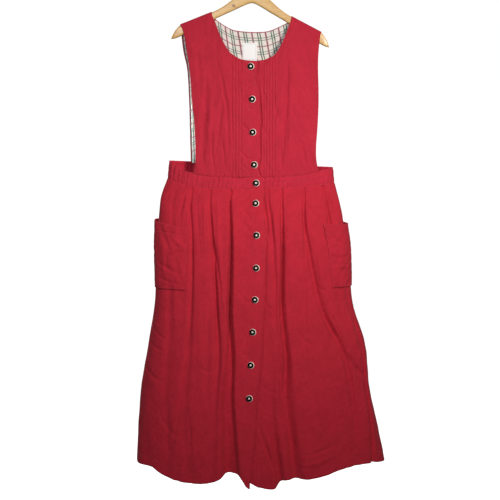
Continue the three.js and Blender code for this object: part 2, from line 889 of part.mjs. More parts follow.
function leftBodiceGrid() {
  const under = [(z) => placketX(z) - UNDERLAP, (z) => placketX(z) + 1, (z) => placketX(z) + 7];
  const tucks = tuckColumns(LEFT_TUCKS);
  const last = LEFT_TUCKS.from + 2 * LEFT_TUCKS.count * LEFT_TUCKS.step;
  const strap = strapColumns(LEFT_STRAP, LEFT_ARMHOLE, last).reverse();
  return bodiceGrid({
    columns: [...under, ...tucks, ...strap],
    neck: LEFT_NECK,
    corners: { low: -BEYOND, high: NECK_CORNERS.left },
    facing: 1,
    seamZ: bodiceSeam(1, BAND_TOP),
    push: (i) => {
      if (i < 2) {
        return -(CLOTH + LAP);
      }
      return isValley(i - under.length, tucks.length) ? TUCK : 0;
    },
  });
}

function backBodiceGrid(options, inset = 0) {
  const right = strapColumns(BACK_RIGHT_STRAP, BACK_RIGHT_ARMHOLE, 0, options);
  const left = strapColumns(BACK_LEFT_STRAP, BACK_LEFT_ARMHOLE, 0, options).reverse();
  return bodiceGrid({
    columns: [...right, ...left],
    neck: BACK_NECK,
    corners: { low: NECK_CORNERS.right, high: NECK_CORNERS.left },
    facing: -1,
    seamZ: bodiceSeam(-1, BACK_BAND_TOP),
    inset,
  });
}

function labelGrid() {
  const { left, right, top, low } = LABEL_PLACE;
  const layers = CLOTH + LINING + 2 * LINING_GAP + LABEL;
  return [0, 1, 2, 3].map((j) =>
    [0, 1, 2, 3].map((i) => {
      const x = mix(left, right, i / 3);
      const z = mix(top, low, j / 3);
      return new THREE.Vector3(x, bodiceDepth(x, z, -1) - layers, z);
    }),
  );
}

// ---------------------------------------------------------------- pockets

// A patch pocket: it follows the outermost skirt from its front edge round the side seam
// to the back, and its mouth stands open.
function pocketGrid(pocket, side) {
  const spots = [
    ...POCKET_SHARES.front.map((f) => ({ f, onFront: true, s: POCKET_FRONT * f })),
    ...POCKET_SHARES.back.map((f) => ({ f, onFront: false, s: mix(POCKET_FRONT, 1, f) })),
  ];
  return POCKET_ROWS.map((r) => {
    const row = spots.map(({ f, onFront, s }) => {
      const top = onFront
        ? mix(pocket.topFront, pocket.topSide, f)
        : mix(pocket.topSide, pocket.topBack, f);
      const gape = POCKET_GAPE * Math.sin(Math.PI * s) * (1 - r) ** 2;
      const belly = POCKET_BELLY * Math.sin(Math.PI * s) * Math.sin(Math.PI * r);
      const standOff = POCKET_CLEAR + POCKET_EASE * ease(4 * Math.min(s, 1 - s));
      const outward = CLOTH + standOff + gape + belly;
      return pocketPoint(pocket, side, onFront, f, mix(top, pocket.low, r), outward);
    });
    return side < 0 ? row.reverse() : row;
  });
}

function pocketPoint(pocket, side, onFront, f, z, outward) {
  const edge = side < 0 ? 0 : 1;
  const facing = onFront ? 1 : -1;
  let across = onFront ? mix(pocket.front, edge, f) : edge;
  let v = 0.25;
  let ring = skirtRing(v, facing);
  for (let k = 0; k < 4; k += 1) {
    if (!onFront) {
      across = edge - (side * f * pocket.backWidth) / ring.length;
    }
    const top = readTable(onFront ? BAND_LOW : BACK_BAND_LOW, "across", "z", across) - SEAM;
    const hem = onFront ? (side < 0 ? RIGHT_HEM : LEFT_HEM) : BACK_HEM;
    v = (top - z) / (top - readTable(hem, "across", "z", across));
    ring = skirtRing(v, facing);
  }
  const { x, y } = ringPoint(ring, across * ring.length, -outward);
  return new THREE.Vector3(x, y, z);
}

// ---------------------------------------------------------------- buttons

function buttonGeometry() {
  const profile = [
    [8.6, 0],
    [9, 2.2],
    [7.8, 3.3],
    [5.8, 2.9],
    [4.6, 2.2],
    [3.8, 3.2],
    [2.1, 4.0],
  ];
  const { segments } = BUTTON;
  const positions = [0, 0, 0, 0, 0, 4.2];
  for (const [radius, height] of profile) {
    for (let k = 0; k < segments; k += 1) {
      const turn = (2 * Math.PI * k) / segments;
      positions.push(radius * Math.cos(turn), radius * Math.sin(turn), height);
    }
  }
  const triangles = [];
  const at = (ring, k) => 2 + ring * segments + (k % segments);
  for (let k = 0; k < segments; k += 1) {
    triangles.push(0, at(0, k + 1), at(0, k));
    for (let ring = 0; ring < profile.length - 1; ring += 1) {
      triangles.push(at(ring, k), at(ring, k + 1), at(ring + 1, k + 1));
      triangles.push(at(ring, k), at(ring + 1, k + 1), at(ring + 1, k));
    }
    triangles.push(1, at(profile.length - 1, k), at(profile.length - 1, k + 1));
  }
  const geometry = new THREE.BufferGeometry();
  geometry.setAttribute("position", new THREE.Float32BufferAttribute(positions, 3));
  geometry.setIndex(triangles);
  return geometry;
}

// Distance of the outside of the placket from the middle plane at a place on the front.
function placketDepth(x, z) {
  const bandRow = bandRing(0, 1);
  const topZ = readTable(BAND_TOP, "across", "z", acrossAt(bandRow, x));
  if (z > topZ) {
    return bodiceDepth(x, z, 1);
  }
  let v = 0;
  for (let k = 0; k < 4; k += 1) {
    const across = acrossAt(skirtRing(v, 1), x);
    const top = readTable(BAND_LOW, "across", "z", across);
    v = Math.max((top - z) / (top - readTable(RIGHT_HEM, "across", "z", across)), 0);
  }
  const ring = v > 0 ? skirtRing(v, 1) : bandRing(0.5, 1);
  return -ringPoint(ring, acrossAt(ring, x) * ring.length).y;
}

function buttonMesh(name, { x, z }) {
  const reach = BUTTON.radius;
  const depth = placketDepth(x, z);
  const across = (placketDepth(x + reach, z) - placketDepth(x - reach, z)) / (2 * reach);
  const up = (placketDepth(x, z + reach) - placketDepth(x, z - reach)) / (2 * reach);
  const normal = new THREE.Vector3(-across, -1, -up).normalize();
  const turn = new THREE.Quaternion().setFromUnitVectors(new THREE.Vector3(0, 0, 1), normal);
  const geometry = buttonGeometry();
  geometry.applyQuaternion(turn);
  const lift = SEAM + 0.25;
  geometry.translate(x + normal.x * lift, -depth + normal.y * lift, z + normal.z * lift);
  return partMesh(name, geometry, HORN);
}

// ---------------------------------------------------------------- hanger

function plain(geometry) {
  geometry.deleteAttribute("normal");
  geometry.deleteAttribute("uv");
  return mergeVertices(geometry, 1e-3);
}

function asSolid(geometry) {
  return new Manifold(new SolidMesh({
    numProp: 3,
    vertProperties: new Float32Array(geometry.getAttribute("position").array),
    triVerts: new Uint32Array(geometry.getIndex().array),
  }));
}

function fromSolid(solid) {
  const mesh = solid.getMesh();
  const geometry = new THREE.BufferGeometry();
  geometry.setAttribute("position", new THREE.BufferAttribute(mesh.vertProperties, 3));
  geometry.setIndex(new THREE.BufferAttribute(mesh.triVerts, 1));
  return geometry;
}

function hangerBody() {
  const { outline, thickness, rounding, tilt } = HANGER;
  const right = outline.map(({ x, top }) => [x, top]);
  const under = [...outline].reverse().map(({ x, bottom }) => [x, bottom]);
  const left = outline.slice(1).map(({ x, bottom }) => [-x, bottom]);
  const over = outline.slice(1).reverse().map(({ x, top }) => [-x, top]);
  const corners = [...right, ...under, ...left, ...over];
  const shape = new THREE.Shape(corners.map(([x, z]) => new THREE.Vector2(x, z)));
  const geometry = new THREE.ExtrudeGeometry(shape, {
    depth: thickness - 2 * rounding,
    bevelEnabled: true,
    bevelThickness: rounding,
    bevelSize: rounding * HANGER.bevel,
    bevelOffset: -rounding * HANGER.bevel,
    bevelSegments: 3,
    steps: 1,
  });
  geometry.translate(0, 0, rounding - thickness / 2);
  geometry.rotateX(Math.PI / 2);
  const radius = HOOK.wire / 2 + SEAM;
  const bore = new THREE.CylinderGeometry(radius, radius, HOOK.bore, 16);
  bore.rotateX(Math.PI / 2);
  bore.translate(0, 0, HOOK.shankEnd - HOOK.boreSpare + HOOK.bore / 2);
  const body = fromSolid(asSolid(plain(geometry)).subtract(asSolid(plain(bore))));
  body.rotateY(THREE.MathUtils.degToRad(tilt));
  return partMesh("hanger_body", body, BEECH);
}

function hangerHook() {
  const { wire, loop, shankEnd, opening } = HOOK;
  const radius = loop + wire / 2;
  const points = [
    new THREE.Vector3(0, 0, shankEnd),
    new THREE.Vector3(0, 0, shankEnd + 10),
    new THREE.Vector3(0.3, 0, -56),
    new THREE.Vector3(4, 0, -48.6),
  ];
  const first = -62;
  const count = 18;
  for (let k = 0; k <= count; k += 1) {
    const turn = THREE.MathUtils.degToRad(mix(first, opening, k / count));
    points.push(new THREE.Vector3(radius * Math.cos(turn), 0, radius * Math.sin(turn) - loop));
  }
  const section = new THREE.Shape();
  section.absarc(0, 0, wire / 2, 0, 2 * Math.PI);
  const geometry = new THREE.ExtrudeGeometry(section, {
    steps: 38,
    curveSegments: 6,
    bevelEnabled: false,
    extrudePath: new THREE.CatmullRomCurve3(points),
  });
  const hook = plain(geometry);
  hook.rotateY(THREE.MathUtils.degToRad(HANGER.tilt));
  return partMesh("hanger_hook", hook, STEEL);
}

// ---------------------------------------------------------------- assembly

function waistbands() {
  const edge = (ring) => SKIRT_PLACKET[0].across * ring.length;
  const end = (ring) => [ring.length - SEAM / 2];
  const front = { facing: 1, top: BAND_TOP, low: BAND_LOW };
  const right = {
    ...front,
    lead: () => [SEAM / 2],
    tail: (ring) => [edge(ring) - UNDERLAP, edge(ring)],
    gathered: [0.03, 0.46],
    gathers: WAISTBAND.frontGathers,
  };
  const left = {
    ...front,
    lead: (ring) => [edge(ring) - UNDERLAP, edge(ring) + 2, edge(ring) + 8],
    tail: end,
    gathered: [0.6, 0.975],
    gathers: WAISTBAND.frontGathers - 2,
    lap: (place, ring) => (CLOTH + LAP) * (1 - ease((place - edge(ring) - 2) / 6)),
  };
  const back = {
    facing: -1,
    top: BACK_BAND_TOP,
    low: BACK_BAND_LOW,
    lead: () => [SEAM / 2],
    tail: end,
    gathered: [0.02, 0.98],
    gathers: WAISTBAND.backGathers,
  };
  const seams = (...square) => ({ flat: true, square });
  return [
    clothWall("waistband_right", RED_COTTON, bandGrid(right), 1, CLOTH, seams(true, false)),
    clothWall("waistband_left", RED_COTTON, bandGrid(left), 1, CLOTH, seams(false, true)),
    clothWall("waistband_back", RED_COTTON, bandGrid(back), -1, CLOTH, seams(true, true)),
  ];
}

function bodices() {
  const front = rightBodiceGrid();
  const frontLeft = leftBodiceGrid();
  const back = backBodiceGrid();
  const strapEnd = (strap) => strap.shoulder.length;
  const fromEnd = (grid, strap) => grid[0].length - 1 - strapEnd(strap);
  const onRight = (i) => i <= strapEnd(RIGHT_STRAP);
  const onLeft = (i) => i >= fromEnd(frontLeft, LEFT_STRAP);
  const onBack = (i) => i <= strapEnd(BACK_RIGHT_STRAP) || i >= fromEnd(back, BACK_LEFT_STRAP);
  const inside = backBodiceGrid({ fine: false, reach: LINING_REACH }, LINING_DROP);
  const lining = moveIn(inside, -1, CLOTH + LINING_GAP);
  return [
    clothWall("front_bodice_right", RED_COTTON, front, 1, CLOTH, { ridge: onRight }),
    clothWall("front_bodice_left", RED_COTTON, frontLeft, 1, CLOTH, { ridge: onLeft }),
    clothWall("back_bodice", RED_COTTON, back, -1, CLOTH, { ridge: onBack }),
    clothWall("back_bodice_lining", PLAID_COTTON, lining, -1, LINING),
    clothWall("label", WOVEN_WHITE, labelGrid(), 1, LABEL),
  ];
}

function assemble() {
  const dress = new THREE.Group();
  dress.name = "dirndl_on_hanger";
  dress.add(hangerBody(), hangerHook(), ...bodices(), ...waistbands());
  dress.add(
    skirtPanel("skirt_front_right", RIGHT_PANEL),
    skirtPanel("skirt_front_left", LEFT_PANEL),
    skirtPanel("skirt_back", BACK_PANEL),
    clothWall("pocket_right", RED_SKIRT, pocketGrid(RIGHT_POCKET, -1), 1, CLOTH, { flat: true }),
    clothWall("pocket_left", RED_SKIRT, pocketGrid(LEFT_POCKET, 1), 1, CLOTH, { flat: true }),
  );
  BUTTONS.forEach((place, k) => dress.add(buttonMesh(`button_${k + 1}`, place)));
  return dress;
}

export default assemble();
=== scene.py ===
"""Looks of a sleeveless button-front dirndl dress that hangs on a wooden coat hanger.

Sizes are millimetres until a mesh is made, where they become metres. +Z is up and the front
of the dress faces -Y. "right" and "left" in names are the wearer's own.
"""

import logging
import math
from collections.abc import Callable
from dataclasses import dataclass, field
from enum import Enum

import bmesh
import bpy
import numpy as np
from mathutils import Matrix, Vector


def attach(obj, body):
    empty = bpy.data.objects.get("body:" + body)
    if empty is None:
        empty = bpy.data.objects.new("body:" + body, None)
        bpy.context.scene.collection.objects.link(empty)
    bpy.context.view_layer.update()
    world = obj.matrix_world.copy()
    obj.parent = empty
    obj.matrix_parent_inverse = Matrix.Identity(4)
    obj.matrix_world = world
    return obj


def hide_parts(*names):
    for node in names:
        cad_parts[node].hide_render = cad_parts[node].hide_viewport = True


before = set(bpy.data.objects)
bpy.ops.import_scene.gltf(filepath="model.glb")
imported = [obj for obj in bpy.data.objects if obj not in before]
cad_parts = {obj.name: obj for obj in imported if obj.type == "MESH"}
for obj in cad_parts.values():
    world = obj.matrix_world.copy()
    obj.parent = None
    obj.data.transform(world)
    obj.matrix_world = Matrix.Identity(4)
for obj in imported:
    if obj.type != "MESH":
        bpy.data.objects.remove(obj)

logging.basicConfig(level=logging.INFO, format="%(message)s")
log = logging.getLogger("dirndl")

Array = np.ndarray
Socket = bpy.types.NodeSocket
Node = bpy.types.Node
Row = tuple[float, ...]
Pair = tuple[float, float]
Triple = tuple[float, float, float]
Columns = dict[str, Row]

MM = 0.001
CLOTH = 1.4  # thickness of the cotton
LAP = 0.6  # gap between the two fronts where they lap
UNDERLAP = 40.0  # how far the left front runs on under the right one
TUCKED_IN = 2.2  # how far an edge goes in under the waistband
ROUNDNESS = 2.6  # exponent of the dress's plan sections


class Facing(Enum):
    """The side of the dress that a piece of cloth faces."""

    FRONT = 1
    BACK = -1


class Slot(Enum):
    """The material slots of the record."""

    CLOTH = "dress_cloth"
    LINING = "plaid_lining"
    LABEL = "label_tape"
    WOOD = "beech"
    STEEL = "hook_steel"
    HORN = "horn"


# -------- curves and noise


def read_curve(keys: Array, values: Array, at: Array) -> Array:
    """Reads a smooth curve through a short table.

    Args:
        keys: Rising or falling places of the table's rows.
        values: The value at each row.
        at: Places to read, held inside the table's range.

    Returns:
        The values at those places.
    """
    keys, values = np.asarray(keys, float), np.asarray(values, float)
    if keys[-1] < keys[0]:
        keys, values = keys[::-1], values[::-1]
    slopes = np.empty_like(values)
    slopes[1:-1] = (values[2:] - values[:-2]) / (keys[2:] - keys[:-2])
    slopes[0] = (values[1] - values[0]) / (keys[1] - keys[0])
    slopes[-1] = (values[-1] - values[-2]) / (keys[-1] - keys[-2])
    place = np.clip(at, keys[0], keys[-1])
    k = np.clip(np.searchsorted(keys, place, side="right") - 1, 0, len(keys) - 2)
    span = keys[k + 1] - keys[k]
    t = (place - keys[k]) / span
    start, end = slopes[k] * span, slopes[k + 1] * span
    rise = values[k + 1] - values[k]
    return values[k] + t * (start + t * (3 * rise - 2 * start - end + t * (start + end - 2 * rise)))


def ease(t: Array) -> Array:
    """Rises smoothly from 0 to 1 as t does."""
    s = np.clip(t, 0, 1)
    return s * s * (3 - 2 * s)


def bump(t: Array) -> Array:
    """A soft hump that is 1 at t = 0 and 0 from t = -1 and t = 1 on."""
    return np.where(np.abs(t) < 1, np.cos(np.pi * np.clip(t, -1, 1) / 2) ** 2, 0)


def mix(a: Array, b: Array, t: Array) -> Array:
    """The value a share t of the way from a to b."""
    return a + (b - a) * t


@dataclass(frozen=True)
class Ripple:
    """Uneven waves in cloth, a sum of sines that run in slightly different directions."""

    seed: int
    wave: Pair
    stretch: float
    count: int = 14

    def at(self, across: Array, down: Array) -> Array:
        """Reads the waves.

        Args:
            across: Places across the cloth.
            down: Places down the cloth, where the waves are stretched.

        Returns:
            Heights that mostly lie between -1 and 1.
        """
        rng = np.random.default_rng(self.seed)
        total = np.zeros(np.broadcast(across, down).shape)
        for _ in range(self.count):
            number = 2 * np.pi / rng.uniform(*self.wave)
            lean = rng.uniform(-1, 1) / self.stretch
            total += np.sin(number * (across + lean * down) + rng.uniform(0, 2 * np.pi))
        return total / math.sqrt(self.count)


CREASE_ENDS = (0.02, 0.98)  # shares of a path past which a crease tapers no further
CREASE_TIP = 0.4  # half width at a crease's ends, as a share of its own


@dataclass(frozen=True)
class Crease:
    """A soft trough, or a ridge where its depth is negative, along a path on the cloth."""

    path: tuple[Pair, ...]
    half: float
    depth: float

    def press(self, x: Array, z: Array) -> Array:
        """How far the crease pushes the cloth in at each place.

        Args:
            x: Places across.
            z: Heights.

        Returns:
            Depths, tapered towards both ends of the path.
        """
        near = np.full(x.shape, np.inf)
        along = np.zeros(x.shape)
        points = np.array(self.path, float)
        steps = np.linalg.norm(np.diff(points, axis=0), axis=1)
        total = steps.sum()
        done = 0.0
        for (ax, az), (bx, bz), step in zip(points[:-1], points[1:], steps):
            t = np.clip(((x - ax) * (bx - ax) + (z - az) * (bz - az)) / step**2, 0, 1)
            away = np.hypot(x - mix(ax, bx, t), z - mix(az, bz, t))
            closer = away < near
            near = np.where(closer, away, near)
            along = np.where(closer, (done + t * step) / total, along)
            done += step
        taper = np.sqrt(np.clip(np.sin(np.pi * np.clip(along, *CREASE_ENDS)), 0, 1))
        return self.depth * taper * bump(near / (self.half * mix(CREASE_TIP, 1, taper)))


def creases(*rows: tuple) -> tuple[Crease, ...]:
    """Creases from a table: half width, depth, then the points of the path in each row."""
    return tuple(Crease(tuple(path), half, depth) for half, depth, *path in rows)


# -------- cloth surfaces


@dataclass
class Surface:
    """The outside of a piece of cloth: rows run down, columns to the viewer's right."""

    points: Array
    facing: Facing

    @property
    def normals(self) -> Array:
        """Unit vectors out of the cloth at every point."""
        down = np.gradient(self.points, axis=0)
        along = np.gradient(self.points, axis=1)
        normal = np.cross(down, along) * self.facing.value
        return normal / np.maximum(np.linalg.norm(normal, axis=2, keepdims=True), 1e-9)

    @property
    def runs(self) -> tuple[Array, Array]:
        """Running lengths across and down, from the first column and the first row."""
        across = np.linalg.norm(np.diff(self.points, axis=1), axis=2)
        down = np.linalg.norm(np.diff(self.points, axis=0), axis=2)
        return (
            np.pad(np.cumsum(across, axis=1), ((0, 0), (1, 0))),
            np.pad(np.cumsum(down, axis=0), ((1, 0), (0, 0))),
        )

    def moved(self, distance: Array | float) -> "Surface":
        """The same surface, moved out of the cloth by a distance."""
        away = np.broadcast_to(distance, self.points.shape[:2])[..., None]
        return Surface(self.points + self.normals * away, self.facing)

    def track(self, rows: Array, columns: Array, lift: float) -> Array:
        """Points of a line that lies on the surface.

        Args:
            rows: Fractional row numbers.
            columns: Fractional column numbers.
            lift: Distance out of the cloth.

        Returns:
            One point for each place.
        """
        grid = self.points + self.normals * lift
        rows = np.clip(rows, 0, grid.shape[0] - 1.001)
        columns = np.clip(columns, 0, grid.shape[1] - 1.001)
        j, i = rows.astype(int), columns.astype(int)
        s, t = (rows - j)[:, None], (columns - i)[:, None]
        upper = mix(grid[j, i], grid[j, i + 1], t)
        lower = mix(grid[j + 1, i], grid[j + 1, i + 1], t)
        return mix(upper, lower, s)

    def beside(self, rows: bool, end: int, distance: float, lift: float = 0.1) -> Array:
        """A line on the cloth that keeps a distance from one of its edges.

        Args:
            rows: Whether the edge is a row, and not a column.
            end: 0 for the first one, -1 for the last one.
            distance: The running length between the edge and the line.
            lift: Distance out of the cloth.

        Returns:
            The line's points.
        """
        runs = self.runs[1].T if rows else self.runs[0]
        wanted = np.broadcast_to(distance if end == 0 else runs[:, -1] - distance, len(runs))
        away = np.array([np.interp(w, run, np.arange(len(run))) for w, run in zip(wanted, runs)])
        edge = np.arange(float(len(runs)))
        return self.track(away, edge, lift) if rows else self.track(edge, away, lift)

    def beside_column(self, end: int, distance: float) -> Array:
        """A line down the cloth beside its first (0) or last (-1) column."""
        return self.beside(False, end, distance)

    def beside_row(self, end: int, distance: float) -> Array:
        """A line across the cloth beside its first (0) or last (-1) row."""
        return self.beside(True, end, distance)

    def cut(self) -> tuple[Pair, float]:
        """The flat cut: its widest and longest run, and its area, in metres."""
        across, down = self.runs
        width, length = float(across[:, -1].max()) * MM, float(down[-1].max()) * MM
        quad = np.cross(
            self.points[1:, 1:] - self.points[:-1, :-1],
            self.points[1:, :-1] - self.points[:-1, 1:],
        )
        area = float(np.linalg.norm(quad, axis=2).sum()) / 2 * MM * MM
        return (width, length), min(area, width * length)


def new_object(name: str, mesh: bpy.types.Mesh) -> bpy.types.Object:
    """Links a mesh to the scene under a name."""
    piece = bpy.data.objects.new(name, mesh)
    bpy.context.scene.collection.objects.link(piece)
    return piece


def make_mesh(name: str, points: Array, faces: Array, uv: Array | None = None) -> bpy.types.Mesh:
    """Makes a smooth mesh from points in millimetres.

    Args:
        name: The mesh's name.
        points: One row for each vertex.
        faces: One row of vertex numbers for each four-sided face.
        uv: A place in the cut for each vertex, in metres.

    Returns:
        The mesh, in metres.
    """
    mesh = bpy.data.meshes.new(name)
    mesh.from_pydata((points * MM).tolist(), [], faces.tolist())
    if uv is not None:
        layer = mesh.uv_layers.new(name="cut")
        corner = np.zeros(len(mesh.loops), np.int32)
        mesh.loops.foreach_get("vertex_index", corner)
        layer.data.foreach_set("uv", uv[corner].astype(np.float32).ravel())
    mesh.polygons.foreach_set("use_smooth", np.ones(len(mesh.polygons), bool))
    mesh.validate()
    mesh.update()
    return mesh


def wall(name: str, outer: Surface, thickness: float, edge: float = 0.4) -> bpy.types.Object:
    """A closed cloth wall with rounded edges from the outside of a piece.

    Args:
        name: The piece's name.
        outer: Its outside.
        thickness: The cloth's thickness.
        edge: How far the rounded edge stands out, as a share of the thickness.

    Returns:
        The piece, with its cut as a UV map.
    """
    inner = outer.moved(-thickness)
    rows, columns = outer.points.shape[:2]
    layer = rows * columns
    index = np.arange(layer).reshape(rows, columns)
    a, b, c, d = index[:-1, :-1], index[1:, :-1], index[1:, 1:], index[:-1, 1:]
    outside = np.stack([a, b, c, d], axis=-1).reshape(-1, 4)
    inside = np.stack([d, c, b, a], axis=-1).reshape(-1, 4) + layer
    loop = np.concatenate([index[:-1, 0], index[-1, :-1], index[:0:-1, -1], index[0, :0:-1]])
    middle = (outer.points + inner.points).reshape(-1, 3)[loop] / 2
    inward = np.zeros((rows, columns, 3))
    inward[:, 0] += outer.points[:, 1] - outer.points[:, 0]
    inward[:, -1] += outer.points[:, -2] - outer.points[:, -1]
    inward[0] += outer.points[1] - outer.points[0]
    inward[-1] += outer.points[-2] - outer.points[-1]
    inward = inward.reshape(-1, 3)[loop]
    inward /= np.maximum(np.linalg.norm(inward, axis=1, keepdims=True), 1e-9)
    rim = middle - inward * thickness * edge
    first = 2 * layer + np.arange(len(loop))
    second = np.roll(first, -1)
    ahead = np.roll(loop, -1)
    upper = np.stack([loop, first, second, ahead], axis=-1)
    lower = np.stack([first, loop + layer, ahead + layer, second], axis=-1)
    faces = np.concatenate([outside, inside, upper, lower])
    if outer.facing is Facing.BACK:
        faces = faces[:, ::-1]
    points = np.concatenate([outer.points.reshape(-1, 3), inner.points.reshape(-1, 3), rim])
    across, down = outer.runs
    flat = np.stack([across, -down], axis=-1).reshape(-1, 2) * MM
    uv = np.concatenate([flat, flat, flat[loop]])
    return new_object(name, make_mesh(name, points, faces, uv))


# -------- shader groups


class Graph:
    """Short words for building a node tree."""

    COLOUR_INPUTS = (0, 6, 7)  # factor and both colours of a Mix node
    COLOUR_OUTPUT = 2

    def __init__(self, tree: bpy.types.NodeTree) -> None:
        """Takes the tree that the nodes go into."""
        self.tree = tree

    def feed(self, socket: Socket, value: object) -> None:
        """Links an input to another node's output, or gives it a constant."""
        if isinstance(value, Socket):
            self.tree.links.new(value, socket)
        else:
            socket.default_value = value

    def fill(self, node: Node, **values: object) -> None:
        """Feeds several inputs of a node, by name with underscores for spaces."""
        for name, value in values.items():
            self.feed(node.inputs[name.replace("_", " ")], value)

    def node(self, kind: str, **values: object) -> Node:
        """Adds a node.

        Args:
            kind: The node's type name.
            **values: Its properties, and constants or outputs for its inputs, by name with
                underscores for spaces.

        Returns:
            The node.
        """
        node = self.tree.nodes.new(kind)
        for name, value in values.items():
            if hasattr(node, name) and name not in node.inputs:
                setattr(node, name, value)
            else:
                self.fill(node, **{name: value})
        return node

    def group(self, tree: bpy.types.NodeTree, **values: object) -> bpy.types.bpy_prop_collection:
        """Places a shader group, fed as a node is, and returns its outputs."""
        return self.node("ShaderNodeGroup", node_tree=tree, **values).outputs

    def math(self, operation: str, a: object, b: object = 0.0, clamp: bool = False) -> Socket:
        """Adds a Math node and returns its output; a and b are numbers or outputs."""
        node = self.node("ShaderNodeMath", operation=operation, use_clamp=clamp)
        for socket, value in zip(node.inputs, (a, b)):
            self.feed(socket, value)
        return node.outputs[0]

    def mix_color(self, factor: object, a: object, b: object) -> Socket:
        """Adds a colour Mix node and returns its output."""
        node = self.node("ShaderNodeMix", data_type="RGBA")
        for number, value in zip(self.COLOUR_INPUTS, (factor, a, b)):
            self.feed(node.inputs[number], value)
        return node.outputs[self.COLOUR_OUTPUT]

    def ramp(self, value: Socket, low: float, high: float) -> Socket:
        """Spreads a value from low..high to 0..1 and returns the output."""
        node = self.node("ShaderNodeMapRange", Value=value, From_Min=low, From_Max=high)
        return node.outputs["Result"]

    def noise(
        self, place: Socket, scale: object, detail: float, rough: float = 0.5, warp: float = 0.0
    ) -> Socket:
        """Adds a Noise node and returns its value.

        Args:
            place: Where it is read.
            scale: How fine it is.
            detail: Number of finer layers.
            rough: How strong the finer layers are.
            warp: How far it is distorted.

        Returns:
            Its value, around 0.5.
        """
        node = self.node("ShaderNodeTexNoise", Vector=place, Scale=scale, Detail=detail)
        self.fill(node, Roughness=rough, Distortion=warp)
        return node.outputs["Fac"]

    def stretched(self, place: Socket, scale: Triple) -> Socket:
        """A place scaled along each direction."""
        return self.node("ShaderNodeMapping", Vector=place, Scale=scale).outputs[0]

    def axes(self, place: Socket) -> bpy.types.bpy_prop_collection:
        """The three parts of a place."""
        return self.node("ShaderNodeSeparateXYZ", Vector=place).outputs

    def cut_place(self) -> Socket:
        """The place in the piece's own cut, in metres."""
        return self.node("ShaderNodeUVMap", uv_map="cut").outputs[0]

    def object_place(self) -> Socket:
        """The place in the piece, in metres."""
        return self.node("ShaderNodeTexCoord").outputs["Object"]

    def bumped(self, height: Socket, strength: float, depth: float) -> Socket:
        """The normal of a surface raised by a height; depth is in metres."""
        node = self.node("ShaderNodeBump", Height=height, Strength=strength, Distance=depth)
        return node.outputs[0]


def shader_group(
    name: str,
    inputs: dict[str, object],
    outputs: tuple[str, ...],
    build: Callable[..., tuple[Socket, ...]],
) -> bpy.types.NodeTree:
    """Makes a shader node group once.

    Args:
        name: The group's name.
        inputs: The default of each input, which three numbers make a vector.
        outputs: The name of each value that it gives.
        build: Adds the nodes from the graph and the inputs, and returns the values.

    Returns:
        The group.
    """
    found = bpy.data.node_groups.get(name)
    if found:
        return found
    tree = bpy.data.node_groups.new(name, "ShaderNodeTree")
    for label, default in inputs.items():
        kind = "NodeSocketVector" if isinstance(default, tuple) else "NodeSocketFloat"
        socket = tree.interface.new_socket(label, in_out="INPUT", socket_type=kind)
        socket.default_value = default
    for label in outputs:
        tree.interface.new_socket(label, in_out="OUTPUT", socket_type="NodeSocketFloat")
    given, out = tree.nodes.new("NodeGroupInput"), tree.nodes.new("NodeGroupOutput")
    graph = Graph(tree)
    for socket, value in zip(out.inputs, build(graph, *given.outputs[: len(inputs)])):
        graph.feed(socket, value)
    return tree


def weave_group() -> bpy.types.NodeTree:
    """A woven cloth: thread height, slubs, colour clouds and rumples from a place in the cut."""

    def build(g: Graph, place: Socket, count: Socket, twill: Socket) -> tuple[Socket, ...]:
        """Crosses the threads and adds the unevenness."""
        across, down = (g.math("MULTIPLY", axis, count) for axis in g.axes(place)[:2])
        slant = g.math("ADD", across, g.math("MULTIPLY", down, twill))
        warp, weft = (
            g.math("ABSOLUTE", g.math("SINE", g.math("MULTIPLY", run, math.pi)))
            for run in (slant, down)
        )
        threads = g.math("ADD", g.math("MULTIPLY", warp, 0.6), g.math("MULTIPLY", weft, 0.4))
        slub = g.noise(g.stretched(place, (1.0, 0.16, 1.0)), 340.0, 4.0, 0.7)
        cloud = g.noise(place, 22.0, 4.0, 0.62)
        rumple = g.noise(place, 80.0, 3.0, 0.6)
        return threads, slub, cloud, rumple

    inputs = {"Place": (0.0, 0.0, 0.0), "Threads per metre": 1500.0, "Twill": 0.5}
    return shader_group("woven_cloth", inputs, ("Threads", "Slub", "Cloud", "Rumple"), build)


def stripe_group() -> bpy.types.NodeTree:
    """Stripes of one colour in a repeat, with soft edges."""

    def build(g: Graph, place: Socket, *sizes: Socket) -> tuple[Socket, ...]:
        """Measures how far a place lies inside the nearest stripe."""
        repeat, offset, width = sizes
        turns = g.math("DIVIDE", g.math("SUBTRACT", place, offset), repeat)
        away = g.math("MULTIPLY", g.math("PINGPONG", turns, 0.5), repeat)
        inside = g.math("SUBTRACT", g.math("MULTIPLY", width, 0.5), away)
        return (g.math("MULTIPLY", inside, 3000.0, clamp=True),)

    inputs = {"Place": 0.0, "Repeat": 0.035, "Offset": 0.0, "Width": 0.003}
    return shader_group("woven_stripe", inputs, ("Mask",), build)


def grain_group() -> bpy.types.NodeTree:
    """Grain that runs along X: growth rings and fine pores."""

    def build(g: Graph, place: Socket, fineness: Socket) -> tuple[Socket, ...]:
        """Stretches two noises along the fibres."""
        fibres = g.stretched(place, (0.09, 1.0, 1.0))
        rings = g.noise(fibres, fineness, 4.0, 0.55, 0.6)
        pores = g.noise(fibres, g.math("MULTIPLY", fineness, 14.0), 2.0)
        return g.math("PINGPONG", g.math("MULTIPLY", rings, 7.0), 1.0), pores

    inputs = {"Place": (0.0, 0.0, 0.0), "Fineness": 60.0}
    return shader_group("fibre_grain", inputs, ("Rings", "Pores"), build)


# -------- finishes

Colour = Triple
Linear = tuple[float, float, float, float]
WHITE: Linear = (1.0, 1.0, 1.0, 1.0)


